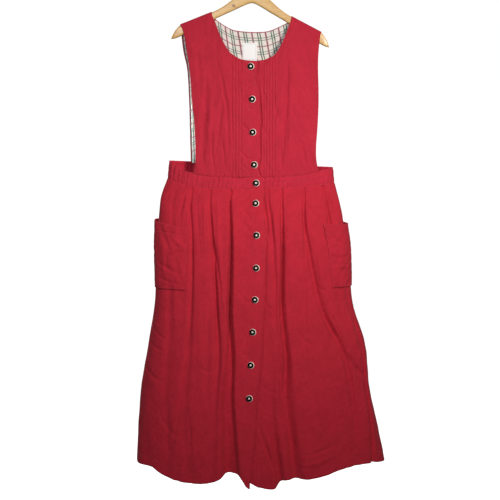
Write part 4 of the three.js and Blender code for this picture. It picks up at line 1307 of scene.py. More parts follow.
@dataclass
class Waistband:
    """The puckered waistband, in two fronts and a back."""

    rows: int = 44
    spacing: float = 1.9
    pucker: float = 2.3
    stitch_rows: Row = (0.08, 0.5, 0.92)
    plain_end: float = 6.0
    plain_placket: float = 38.0
    plain_lap: float = 10.0
    fade: float = 12.0
    slack: float = 0.6
    fine: float = 0.4
    belly: float = 0.5
    belly_half: float = 0.62
    pinch: float = 0.7
    pinch_half: float = 0.1
    seam_gap: float = 0.3

    def __post_init__(self) -> None:
        """Makes the plan sections."""
        self.front = PlanStack(BAND_RING, Facing.FRONT, levels=9)
        self.back = PlanStack(BAND_RING, Facing.BACK, levels=9)
        self.surfaces: dict[str, Surface] = {}

    def sheet(
        self,
        stack: PlanStack,
        edges: tuple[Columns, Columns],
        ends: Pair,
        flat: Pair,
        seed: int,
        lap_from: float | None = None,
    ) -> Surface:
        """The outside of one piece of the band.

        Args:
            stack: Its plan sections.
            edges: Heights of its top and low edges.
            ends: Its first and last places across, as running lengths.
            flat: Running lengths between which it is puckered.
            seed: Seed of its puckers.
            lap_from: Where the placket's edge lies over it, if it does.

        Returns:
            The surface.
        """
        w = np.linspace(0, 1, self.rows)[:, None]
        length = stack.run(w)
        columns = int((ends[1] - ends[0]) / self.spacing)
        place = mix(ends[0], ends[1], np.linspace(0, 1, columns)[None, :]) * np.ones_like(w)
        across = place / length
        inside = ease((place - flat[0]) / self.fade) * ease((flat[1] - place) / self.fade)
        wavy = Ripple(seed, (7, 15), 26.0).at(place, w * 30)
        fine = Ripple(seed + 1, (4, 8), 5.0).at(place, w * 30)
        held = sum(bump((w - row) / self.pinch_half) for row in self.stitch_rows)
        inward = self.slack + 0.4 * self.pucker * wavy + self.fine * fine
        inward = inward * mix(0.25, 1, inside)
        inward = inward * (1 - 0.45 * np.clip(held, 0, 1)) + self.pinch * held
        inward = inward + self.belly * (1 - bump((w - 0.5) / self.belly_half))
        inward = inward + seam_dip(place, length)
        if lap_from is not None:
            inward = inward + lap_step(place - lap_from, 2, 6)
        x, y = stack.point(w, across, inward)
        top, low = (read(edge, "across", "z", across) for edge in edges)
        z = mix(top + self.seam_gap, low - self.seam_gap, w)
        return Surface(np.stack(np.broadcast_arrays(x, y, z), axis=-1), stack.facing)

    def build(self) -> None:
        """Makes the three pieces."""
        length = float(self.front.run(0.5))
        back_length = float(self.back.run(0.5))
        edge = SKIRT_PLACKET["across"][0] * length
        end = self.plain_end
        front, back = (BAND_TOP, BAND_LOW), (BACK_BAND_TOP, BACK_BAND_LOW)
        right_flat = (end, edge - self.plain_placket)
        left_ends, left_flat = (edge - UNDERLAP, length), (edge + self.plain_lap, length - end)
        back_flat = (end, back_length - end)
        self.surfaces = {
            "waistband_right": self.sheet(self.front, front, (0, edge), right_flat, 51),
            "waistband_left": self.sheet(self.front, front, left_ends, left_flat, 57, edge),
            "waistband_back": self.sheet(self.back, back, (0, back_length), back_flat, 63),
        }
        for node, surface in self.surfaces.items():
            hang_cloth(f"{node}_cloth", surface, BAND_COTTON, node)

    def stitch_lines(self) -> list[Array]:
        """Rows of stitching that hold the puckers."""
        lines = []
        for surface in self.surfaces.values():
            columns = np.arange(surface.points.shape[1] - 1.0)
            for row in self.stitch_rows:
                rows = np.full(columns.shape, row * (self.rows - 1))
                lines.append(surface.track(rows, columns, 0.1))
        return lines


# -------- bodice

ColumnLine = Callable[[Array], Array]
NECK_CORNERS = (-112.0, 97.7)  # where the neckline meets the shoulders
BEYOND = 200.0  # further across than any strap


@dataclass(frozen=True)
class Ridge:
    """The line where the straps lie over the hanger, and how they wrap round it."""

    tilt: float = 3.0
    inner: Pair = (105.0, -136.0)
    outer: Pair = (186.0, -172.4)
    wrap: float = 6.0
    over_front: float = 7.75
    over_back: float = 9.3
    seam: float = 0.15

    def tilted(self, x: float, z: float) -> Pair:
        """Turns a place on the level hanger to where it hangs."""
        turn = math.radians(self.tilt)
        return (
            x * math.cos(turn) + z * math.sin(turn),
            z * math.cos(turn) - x * math.sin(turn),
        )

    def height(self, x: Array) -> Array:
        """Height of the outside of the cloth over the hanger."""
        heights = []
        for side in (-1, 1):
            ax, az = self.tilted(side * self.inner[0], self.inner[1])
            bx, bz = self.tilted(side * self.outer[0], self.outer[1])
            heights.append(az + (x - ax) * (bz - az) / (bx - ax))
        return np.where(x < -8, heights[0], heights[1])


FRONT_DEPTH: Columns = {
    "z": (-562, -460, -360, -260, -200, -150),
    "depth": (38, 33, 29, 25, 21, 16),
}
BACK_DEPTH: Columns = {"z": (-530, -360, -200, -150), "depth": (33, 24, 15, 12)}
RIGHT_NECK: Columns = {
    "x": (-112, -111.2, -109, -102, -88, -69, -53, -34, 7, 16),
    "z": (-130.3, -138.3, -145, -160, -197, -231, -246, -256, -261, -261),
}
LEFT_NECK: Columns = {
    "x": (-38, 7, 38, 54, 70, 83, 91.4, 95.8, 97.1, 97.7),
    "z": (-262, -261, -253, -243, -219, -188, -166, -155, -149.3, -141.3),
}
BACK_NECK: Columns = {
    "x": (-112, -111.2, -108, -100, -83, -57, -25, 7, 39, 68, 88, 95, 97.1, 97.7),
    "z": (
        -130.3, -138.3, -143, -150, -162, -175, -180,
        -181, -178, -167, -157, -152, -149.3, -141.3,
    ),
}
RIGHT_ARMHOLE: Columns = {
    "z": (-553, -520, -470, -412, -360, -309, -265, -183, -162.4),
    "x": (-161, -155, -155, -158, -164, -167, -172, -186, -194.8),
}
LEFT_ARMHOLE: Columns = {
    "z": (-547, -517, -486, -423, -360, -260, -190, -181.9),
    "x": (170, 164, 163, 167, 169, 167, 173, 176.7),
}
BACK_RIGHT_ARMHOLE: Columns = {
    "z": (-521, -469, -360, -279, -227, -162.4),
    "x": (-171, -172, -174, -178, -188, -194.8),
}
BACK_LEFT_ARMHOLE: Columns = {
    "z": (-540, -486, -360, -260, -181.9),
    "x": (160, 157, 160, 164, 176.7),
}


STRAP_FOOT = -210.0  # height at which a strap's columns begin to turn
STRAP_TURN = 65.0  # height over which they turn
COMPARED = (-330.0, -200.0, -150.0)  # heights at which columns are compared


@dataclass(frozen=True)
class Strap:
    """Columns of a strap as shares of the way to the armhole, from the armhole inwards."""

    armhole: Columns
    shoulder: Row
    corner: float
    next: float
    neck: Row
    turn: tuple[Pair, ...] = ((0.012, 0.25), (0.036, 0.5), (0.08, 0.75))

    def columns(self, start: float, reach: float = 1.0) -> list[ColumnLine]:
        """The strap's columns.

        Args:
            start: The value of x at share 0.
            reach: How far towards the armhole they reach, as a share.

        Returns:
            A function from height to x for each column.
        """

        def column(high: float, low: float) -> ColumnLine:
            """A column at one share near the shoulder and another below it."""

            def line(z: Array) -> Array:
                """The column's x at a height."""
                share = mix(low, high, ease((z - STRAP_FOOT) / STRAP_TURN)) * reach
                return mix(start, read(self.armhole, "z", "x", z), share)

            return line

        shares = [(s, s) for s in (*self.shoulder, self.corner)]
        shares += [
            (mix(self.corner, self.next, high), mix(self.corner, self.next, low))
            for high, low in self.turn
        ]
        shares += [(s, s) for s in (self.next, *self.neck)]
        return [column(high, low) for high, low in shares]


def straight(x: float) -> ColumnLine:
    """A column that hangs straight down at x."""
    return lambda z: np.full(np.shape(z), float(x))


def between(columns: list[ColumnLine], step: float) -> list[ColumnLine]:
    """Adds columns between others so that none are further apart than a step."""

    def blended(a: ColumnLine, b: ColumnLine, t: float) -> ColumnLine:
        """A column a share t of the way from a to b."""
        return lambda z: mix(a(z), b(z), t)

    fine: list[ColumnLine] = []
    for a, b in zip(columns[:-1], columns[1:]):
        gap = max(abs(float(b(np.array(z)) - a(np.array(z)))) for z in COMPARED)
        count = max(int(math.ceil(gap / step)), 1)
        fine += [blended(a, b, k / count) for k in range(count)]
    return [*fine, columns[-1]]


@dataclass
class Bodice:
    """The sleeveless bodice: two pintucked fronts, a back, its plaid lining and a label."""

    ridge: Ridge = field(default_factory=Ridge)
    rows: int = 120
    step: float = 2.6
    settle: float = 90.0
    free_below: float = 60.0
    soft: float = 0.9
    small: float = 0.3
    drag: float = 0.35
    drag_reach: float = 35.0
    placket_step: float = 1.0
    back_step: float = 3.25
    lining_step: float = 4.68
    tuck_height: float = 1.5
    tuck_half: float = 2.1
    tuck_groove: float = 0.5
    right_tucks: Row = (-55.0, -47.0, -39.0, -31.0)
    left_tucks: Row = (27.1, 34.4, 41.8, 49.1, 56.4)
    shadow: float = 1.8
    lining: float = 1.0
    lining_gap: float = 0.35
    lining_reach: float = 0.985
    lining_drop: float = 6.5
    lining_edge: float = 1.0
    lining_rows: Row = (0, 1.5, 3.0)
    wrap_rows: Row = (0, 0.2, 0.7, 1.6, 2.8, 4.3)
    edge_stitch: float = 5.0
    neck_stitch: float = 6.0
    placket_stitches: Pair = (2.5, 27.0)
    label: float = 0.6
    label_gap: float = 1.4
    label_bow: float = 0.9
    label_box: tuple[float, float, float, float] = (-31.0, 7.0, -209.0, -255.0)
    right_strap: Strap = Strap(
        RIGHT_ARMHOLE, (1, 0.85, 0.69, 0.54), 0.39, 0.317, (0.234, 0.155, 0.085)
    )
    left_strap: Strap = Strap(LEFT_ARMHOLE, (1, 0.83, 0.66, 0.49), 0.323, 0.27, (0.202, 0.09))
    back_right_strap: Strap = Strap(
        BACK_RIGHT_ARMHOLE, (1, 0.86, 0.72), 0.575, 0.518, (0.43, 0.298, 0.13)
    )
    back_left_strap: Strap = Strap(
        BACK_LEFT_ARMHOLE, (1, 0.85, 0.7), 0.553, 0.498, (0.382, 0.219, 0.04)
    )

    def __post_init__(self) -> None:
        """Makes the plan sections of the waist seam."""
        self.seam_plan = {side: PlanStack(BAND_RING, side, levels=3) for side in Facing}
        self.surfaces: dict[str, Surface] = {}

    def depth(self, x: Array, z: Array, facing: Facing) -> Array:
        """Distance of the outside from the middle plane, to the front or the back."""
        left, right = BAND_RING["left"][0], BAND_RING["right"][0]
        middle, half = (right - left) / 2, (right + left) / 2
        u = np.minimum(np.abs((x - middle) / half), 1)
        shape = (1 - u**ROUNDNESS) ** (1 / ROUNDNESS)
        table = FRONT_DEPTH if facing is Facing.FRONT else BACK_DEPTH
        full = read(table, "z", "depth", z) * shape
        ridge = self.ridge
        drop = np.maximum(ridge.height(x) - z, 0)
        wrap = np.sqrt(1 - (1 - np.minimum(drop / ridge.wrap, 1)) ** 2)
        over = ridge.over_front if facing is Facing.FRONT else ridge.over_back
        start = ridge.seam + over * wrap
        return start + np.maximum(full - over - ridge.seam, 0) * ease(drop / self.settle)

    def top_of(self, column: ColumnLine, neck: Columns, corners: Pair) -> float:
        """The height at which a column meets the neckline or the shoulder."""
        z = np.array(-200.0)
        for _ in range(40):
            x = column(z)
            if x < corners[0] or x > corners[1]:
                z = self.ridge.height(x)
            else:
                z = read(neck, "x", "z", x)
        return float(z)

    def foot_of(self, column: ColumnLine, head: float, facing: Facing) -> float:
        """The height at which a column meets the waist seam."""
        table = BAND_TOP if facing is Facing.FRONT else BACK_BAND_TOP
        plan = self.seam_plan[facing]
        z = np.array(head)
        for _ in range(8):
            z = read(table, "across", "z", plan.across_at(0, column(z)))
        return float(z)

    def sheet(
        self,
        columns: list[ColumnLine],
        neck: Columns,
        corners: Pair,
        facing: Facing,
        creases: tuple[Crease, ...],
        seed: int,
        tucks: Row = (),
        lap: bool = False,
        inside: bool = False,
    ) -> Surface:
        """The outside of one piece of the bodice.

        Args:
            columns: Its columns, from the viewer's left.
            neck: Its neckline.
            corners: Values of x between which it ends at the neckline.
            facing: Its side of the dress.
            creases: Its listed creases.
            seed: Seed of its uneven waves.
            tucks: Values of x of its pintucks.
            lap: Whether it runs on under the placket.
            inside: Whether it is the lining, which ends below the shoulder and the neckline.

        Returns:
            The surface.
        """
        heads = np.array([self.top_of(column, neck, corners) for column in columns])
        feet = [self.foot_of(column, head, facing) for column, head in zip(columns, heads)]
        feet = np.array(feet)
        tops = np.array([float(column(np.array(head))) for column, head in zip(columns, heads)])
        within = np.minimum(tops - corners[0], corners[1] - tops)
        inset = mix(self.lining_drop, self.lining_edge, ease(within / 16)) if inside else 0.0
        first = self.lining_rows if inside else (*self.wrap_rows, self.ridge.wrap)
        starts = heads[None, :] - inset - np.array(first)[:, None]
        share = np.linspace(0, 1, self.rows)[1:, None]
        z = np.concatenate([starts, mix(starts[-1], feet[None, :], share)])
        z = np.concatenate([z, z[-1:] - 1.5, z[-1:] - 3.0])
        x = np.stack([column(z[:, k]) for k, column in enumerate(columns)], axis=1)
        out = self.depth(x, z, facing)
        free = ease((self.ridge.height(x) - z) / self.free_below)
        soft = Ripple(seed, (60, 140), 2.5).at(x, z) * self.soft
        small = Ripple(seed + 1, (16, 40), 2.0).at(x, z) * self.small
        drag = Ripple(seed + 2, (12, 24), 8.0).at(x, z) * self.drag
        drag = drag * np.exp((feet[None, :] - z) / self.drag_reach)
        out = out - free * (soft + small + drag)
        out = out - free * sum(crease.press(x, z) for crease in creases)
        for tuck in tucks:
            t = (x - tuck) / self.tuck_half
            groove = self.tuck_groove * bump((np.abs(t) - 1.3) / 0.6)
            out = out + self.tuck_height * bump(t) - groove
        if lap:
            past = x - read(BODICE_PLACKET, "z", "x", z)
            out = out - lap_step(past, 1, 6)
            out = out - self.shadow * bump((past - 3) / 4)
        out[-2:] -= TUCKED_IN
        return Surface(np.stack([x, -facing.value * out, z], axis=-1), facing)

    def back_columns(self, step: float, reach: float = 1.0) -> list[ColumnLine]:
        """Columns of the back or of its lining, which reaches less far to the armholes."""
        right = self.back_right_strap.columns(0.0, reach)
        left = self.back_left_strap.columns(0.0, reach)
        return between([*right, *left[::-1]], step)

    def front_columns(self) -> tuple[list[ColumnLine], list[ColumnLine]]:
        """Columns of the right and the left front, closer together beside the placket."""
        edge: ColumnLine = lambda z: read(BODICE_PLACKET, "z", "x", z)
        under: ColumnLine = lambda z: edge(z) - UNDERLAP
        beside: ColumnLine = lambda z: edge(z) + 1
        side = [*self.right_strap.columns(-59.0), straight(-59)]
        placket = [straight(-59), straight(-27), straight(-12), edge]
        right = between(side, self.step) + between(placket, self.placket_step)[1:]
        side = self.left_strap.columns(60.0)[::-1]
        placket = [under, beside, straight(23.5), straight(60.0)]
        left = between(placket, self.placket_step) + between(side, self.step)
        return right, left

    def build(self) -> None:
        """Makes the bodice, its lining and its label."""
        right, left = self.front_columns()
        low, high = NECK_CORNERS
        right_front = (RIGHT_NECK, (low, BEYOND), Facing.FRONT, RIGHT_BODICE_CREASES, 71)
        left_front = (LEFT_NECK, (-BEYOND, high), Facing.FRONT, LEFT_BODICE_CREASES, 77)
        behind = (BACK_NECK, NECK_CORNERS, Facing.BACK, BACK_BODICE_CREASES, 83)
        self.surfaces = {
            "front_bodice_right": self.sheet(right, *right_front, self.right_tucks),
            "front_bodice_left": self.sheet(left, *left_front, self.left_tucks, lap=True),
            "back_bodice": self.sheet(self.back_columns(self.back_step), *behind),
        }
        for node, surface in self.surfaces.items():
            hang_cloth(f"{node}_cloth", surface, BODICE_COTTON, node, "hanger_body")
        inner = self.back_columns(self.lining_step, self.lining_reach)
        lining = self.sheet(inner, *behind, inside=True).moved(-(CLOTH + self.lining_gap))
        under = ("back_bodice_lining", "back_bodice_cloth", Slot.LINING, self.lining)
        hang_cloth("back_lining_cloth", lining, PLAID, *under)
        self.build_label()

    def build_label(self) -> None:
        """Makes the bare neck label, which bows a little between its sewn corners."""
        left, right, top, low = self.label_box
        x, z = np.meshgrid(np.linspace(left, right, 40), np.linspace(top, low, 48))
        bow = np.sin(np.pi * (x - left) / (right - left)) * np.sin(np.pi * (top - z) / (top - low))
        away = CLOTH + self.lining + self.label_gap + self.label_bow * bow
        y = self.depth(x, z, Facing.BACK) - away
        surface = Surface(np.stack([x, y, z], axis=-1), Facing.FRONT)
        over = ("label", "back_lining_cloth", Slot.LABEL, self.label)
        hang_cloth("label_cloth", surface, LABEL_TAPE, *over)

    def stitch_lines(self) -> list[Array]:
        """Topstitching of the neck, armholes, placket and pintucks."""
        right, left, back = self.surfaces.values()
        armholes = ((right, 0), (left, -1), (back, 0), (back, -1))
        lines = [surface.beside_column(end, self.edge_stitch) for surface, end in armholes]
        lines += [right.beside_column(-1, off) for off in self.placket_stitches]
        for surface in (right, left, back):
            x = surface.points[0, :, 0]
            neck = (x > NECK_CORNERS[0]) & (x < NECK_CORNERS[1])
            lines.append(surface.beside_row(0, self.neck_stitch)[neck])
        for surface, tucks in ((right, self.right_tucks), (left, self.left_tucks)):
            lines += [self.upright(surface, tuck + self.tuck_half * 1.25) for tuck in tucks]
        return lines

    def upright(self, surface: Surface, x: float) -> Array:
        """A line down a front at a value of x."""
        grid = surface.points
        rows = np.arange(8, grid.shape[0] - 3)
        columns = [np.interp(x, grid[j, :, 0], np.arange(grid.shape[1])) for j in rows]
        return surface.track(rows.astype(float), np.array(columns), 0.1)


RIGHT_BODICE_CREASES = creases(
    (8, 2.6, (-82, -330), (-85, -374), (-93, -439), (-101, -496)),
    (4, 1.8, (-61, -351), (-59, -400), (-56, -465), (-54, -530)),
    (12, 3.9, (-126, -297), (-129, -374), (-135, -465), (-136, -538)),
    (8, 3.0, (-97, -263), (-84, -309), (-72, -387), (-67, -491)),
    (12, 2.4, (-149, -233), (-144, -284), (-142, -348)),
    (6, 2.7, (-111, -439), (-112, -491), (-106, -549)),
    (5, 2.2, (-85, -460), (-80, -504), (-75, -549)),
    (5, 2.1, (-38, -330), (-22, -353), (-11, -369)),
    (5, 2.0, (-38, -413), (-22, -434), (-9, -444)),
    (5, 2.0, (-38, -491), (-22, -512), (-6, -517)),
    (4, 1.5, (-43, -517), (-24, -538), (-9, -549)),
    (9, -2.4, (-164, -413), (-159, -478), (-149, -544)),
    (9, -2.4, (-113, -335), (-116, -413), (-122, -491)),
)
LEFT_BODICE_CREASES = creases(
    (5, 3.6, (52, -340), (57, -387), (65, -439), (70, -496), (76, -549)),
    (
        4, 2.6, (10, -262), (11, -304), (17, -382), (19, -413),
        (16, -444), (17, -512), (11, -541), (19, -562),
    ),
    (9, 3.9, (88, -258), (86, -335), (78, -439), (73, -538)),
    (9, -2.4, (96, -348), (94, -439), (89, -530)),
    (12, 3.0, (126, -207), (140, -258), (151, -297)),
    (9, 2.1, (153, -258), (161, -297), (164, -335)),
    (9, 2.4, (123, -465), (131, -507), (142, -544)),
    (7, 2.1, (144, -491), (150, -517), (158, -544)),
    (5, 1.8, (20, -322), (28, -353), (36, -374)),
    (5, 1.8, (20, -426), (31, -449), (41, -465)),
    (5, 1.8, (26, -517), (36, -536), (47, -549)),
)
BACK_BODICE_CREASES = creases(
    (12, 3.6, (-120, -230), (-104, -320), (-98, -430)),
    (10, 2.7, (-60, -260), (-52, -380), (-50, -500)),
    (12, 2.7, (20, -240), (16, -350), (24, -470)),
    (11, 3.6, (96, -220), (88, -330), (90, -450)),
    (9, 2.7, (-140, -440), (-110, -490), (-86, -520)),
    (9, 2.7, (130, -430), (104, -480), (84, -520)),
    (8, 1.8, (-30, -420), (0, -436), (34, -430)),
)


# -------- pockets


RIGHT_POCKET_CREASES = creases(
    (10, 2.1, (-249, -691), (-236, -728), (-224, -755)),
    (8, 1.8, (-229, -771), (-202, -760), (-173, -752)),
    (10, 2.0, (-256, -787), (-229, -803), (-198, -819)),
    (8, -1.7, (-218, -717), (-197, -739), (-176, -744)),
    (9, 1.7, (-251, -830), (-224, -840), (-192, -843)),
    (9, -1.8, (-242, -739), (-240, -776), (-243, -814)),
)
LEFT_POCKET_CREASES = creases(
    (9, 1.8, (198, -707), (214, -728), (240, -739)),
    (9, 2.0, (201, -768), (222, -776), (252, -771)),
    (9, -1.7, (199, -808), (223, -797), (255, -803)),
    (9, 1.7, (212, -824), (234, -846), (258, -851)),
    (9, -1.7, (235, -707), (233, -755), (231, -803)),
)


@dataclass
class Pocket:
    """A patch pocket that wraps round a side seam, with its mouth gaping."""

    name: str
    side: int
    front: float
    top_front: float
    top_side: float
    top_back: float
    low: float
    creases: tuple[Crease, ...]
    back_width: float = 62.0
    hem: float = 22.0
    rows: int = 80
    columns: tuple[int, int] = (56, 30)
    seam: float = 0.62
    gape: float = 8.0
    belly: float = 3.0
    ease_out: float = 1.3
    gap: float = 0.4
    wrinkle: float = 0.8
    hem_dip: float = 0.9
    sewn_side: float = 1 / 9
    sewn_foot: float = 1 / 7
    surface: Surface = field(init=False)

    def points(self, skirt: Skirt, facing: Facing, share: Array, r: Array, s: Array) -> Array:
        """Points of the part of the pocket on one side of the side seam.

        Args:
            skirt: The skirt that it lies on.
            facing: The side.
            share: Shares of the way from the sewn edge to the seam, or on to the back edge.
            r: Shares of the way down.
            s: Shares of the whole way across the pocket.

        Returns:
            The points.
        """
        front, right = facing is Facing.FRONT, self.side < 0
        if front:
            stack, folds = skirt.front, skirt.right_folds if right else skirt.left_folds
            waist, hem = BAND_LOW, RIGHT_HEM if right else LEFT_HEM
            ends = (self.top_front, self.top_side)
        else:
            stack, folds, waist, hem = skirt.back, skirt.back_folds(), BACK_BAND_LOW, BACK_HEM
            ends = (self.top_side, self.top_back)
        edge = 0.0 if right else 1.0
        z = mix(mix(*ends, share), self.low, r)
        v = np.full(z.shape, 0.25)
        for _ in range(4):
            if front:
                across = mix(self.front, edge, share) * np.ones_like(z)
            else:
                across = edge - self.side * share * self.back_width / stack.run(v)
            top = read(waist, "across", "z", across)
            v = (top - z) / (top - read(hem, "across", "z", across))
        length = stack.run(v)
        pressed = sum(fold.press(v, across * length, length) for fold in folds)
        sewn = np.minimum(np.minimum(s, 1 - s) / self.sewn_side, (1 - r) / self.sewn_foot)
        follow = 1 - ease(sewn)
        gape = self.gape * np.sin(np.pi * s) * (1 - r) ** 2
        belly = self.belly * np.sin(np.pi * s) * np.sin(np.pi * r)
        wrinkle = Ripple(91 + self.side, (16, 44), 1.3).at(across * length, z) * self.wrinkle
        off = CLOTH + self.gap + self.ease_out * ease(4 * np.minimum(s, 1 - s)) + gape + belly
        x, _ = stack.point(v, across, pressed * follow - off)
        hemmed = bump((r * (self.top_side - self.low) - self.hem) / 3)
        off = off - sum(crease.press(x, z) for crease in self.creases) * ease(sewn)
        off = off + wrinkle * ease(sewn) - self.hem_dip * hemmed
        x, y = stack.point(v, across, pressed * follow - off)
        return np.stack([x, y, z], axis=-1)

    def build(self, skirt: Skirt) -> None:
        """Makes the pocket on the skirt."""
        r = np.linspace(0, 1, self.rows)[:, None]
        f = np.linspace(0, 1, self.columns[0])[None, :]
        b = np.linspace(0, 1, self.columns[1])[None, 1:]
        grid = np.concatenate(
            [
                self.points(skirt, Facing.FRONT, f, r, self.seam * f),
                self.points(skirt, Facing.BACK, b, r, self.seam + (1 - self.seam) * b),
            ],
            axis=1,
        )
        if self.side < 0:
            grid = grid[:, ::-1]
        self.surface = Surface(grid, Facing.FRONT)
        hang_cloth(f"{self.name}_cloth", self.surface, SKIRT_COTTON, self.name, "skirt_back_cloth")

    def stitch_lines(self) -> list[Array]:
        """Topstitching round the pocket and along its mouth hem."""
        surface = self.surface
        lines = [surface.beside_row(end, off) for end, off in ((0, 3.0), (0, self.hem), (-1, 2.0))]
        return lines + [surface.beside_column(end, 2.0) for end in (0, -1)]


# -------- turned and bent forms

Profile = tuple[Pair, ...]


def ring_faces(rings: int, segments: int) -> Array:
    """Four-sided faces between rings of points that follow each other.

    Args:
        rings: Number of rings.
        segments: Number of points in each.

    Returns:
        One row of point numbers for each face.
    """
    k = np.arange(segments)
    ahead = (k + 1) % segments
    first = segments * np.arange(rings - 1)[:, None]
    corners = (first + k, first + ahead, first + segments + ahead, first + segments + k)
    return np.stack(corners, axis=-1).reshape(-1, 4)


def lathe(profile: Profile, segments: int) -> Array:
    """Points of a profile, radius and height of each ring, turned round +Z."""
    turn = 2 * np.pi * np.arange(segments) / segments
    cos, sin, level = np.cos(turn), np.sin(turn), np.ones(segments)
    return np.concatenate([np.stack([r * cos, r * sin, h * level], -1) for r, h in profile])


def close_ends(piece: bpy.types.Object) -> None:
    """Fills the open ends of a tube and turns its faces out."""
    form = bmesh.new()
    form.from_mesh(piece.data)
    bmesh.ops.holes_fill(form, edges=[e for e in form.edges if e.is_boundary], sides=0)
    bmesh.ops.recalc_face_normals(form, faces=form.faces)
    form.to_mesh(piece.data)
    form.free()


# -------- buttons


@dataclass
class Button:
    """A round button: a pale rim, a dark horn ring and a domed metal centre.

    The ring sits a little towards the viewer's left, so the pale rim shows more at the right; that
    wider pale crescent is a painted glint of the light from the right.
    """

    radius: float = 9.0
    # shift of the ring and dome that widens the pale rim at the right into a painted glint
    glint_shift: float = 0.7
    segments: int = 40
    lift: float = 0.35
    places: Profile = (
        (-9, -274), (-5, -359), (-4, -445), (0, -530), (5, -578), (4, -631),
        (6, -714), (5, -799), (2, -882), (-4, -967), (-9, -1054), (-13, -1142),
    )

    def layers(self) -> tuple[tuple[Finish, Profile], ...]:
        """The button's three layers: a finish and a closed profile for each."""
        # pale horn rim all round; its wider right side, made by the shift, is a painted glint
        rim = ((0.001, 0), (8.2, 0), (8.8, 0.5), (9.0, 1.1), (8.95, 1.7), (8.6, 2.2), (0.001, 2.2))
        ring = (
            (0.001, 1.9), (7.9, 1.9), (8.05, 2.4), (7.75, 3.0),
            (7.0, 3.3), (5.9, 3.1), (4.4, 2.5), (0.001, 2.3),
        )
        dome = (
            (0.001, 2.2), (3.0, 2.2), (3.0, 2.9), (2.7, 3.5),
            (2.1, 3.9), (1.1, 4.15), (0.001, 4.2),
        )
        return ((PALE_HORN_AND_GLINT, rim), (DARK_HORN, ring), (WHITE_METAL, dome))

    def build(self, surfaces: list[Surface]) -> None:
        """Sews the buttons on the placket.

        Args:
            surfaces: The fronts that carry them, from the top down.
        """
        for number, (x, z) in enumerate(self.places, 1):
            spot, normal = self.seat(surfaces, x, z)
            turn = np.array(Vector(normal).to_track_quat("Z", "X").to_matrix())
            points, faces, looks = [], [], []
            for layer, (_, profile) in enumerate(self.layers()):
                made = lathe(profile, self.segments)
                made[:, 1] += self.glint_shift if layer else 0.0
                quads = ring_faces(len(profile), self.segments)
                faces.append(quads + sum(map(len, points)))
                points.append(made)
                looks += [layer] * len(quads)
            placed = np.concatenate(points) @ turn.T + (spot + normal * self.lift)
            mesh = make_mesh(f"button_{number}_turned", placed, np.concatenate(faces))
            for finish, _ in self.layers():
                mesh.materials.append(finish.material())
            mesh.polygons.foreach_set("material_index", looks)
            piece = new_object(mesh.name, mesh)
            dress_piece(piece, DARK_HORN, Slot.HORN, f"button_{number}")

    def seat(self, surfaces: list[Surface], x: float, z: float) -> tuple[Array, Array]:
        """The place and direction of a button: the furthest out of the cloth round it."""
        best = None
        for surface in surfaces:
            away = np.hypot(surface.points[..., 0] - x, surface.points[..., 2] - z)
            near = away < self.radius
            if near.sum() < 4:
                continue
            found = surface.points[near]
            normal = surface.normals[near].mean(axis=0)
            normal = normal / np.linalg.norm(normal)
            center = np.array([x, found[:, 1].mean(), z])
            out = float(((found - center) @ normal).max())
            if best is None or center[1] < best[0][1]:
                best = (center + normal * max(out - 0.4, 0), normal)
        return best


# -------- hanger


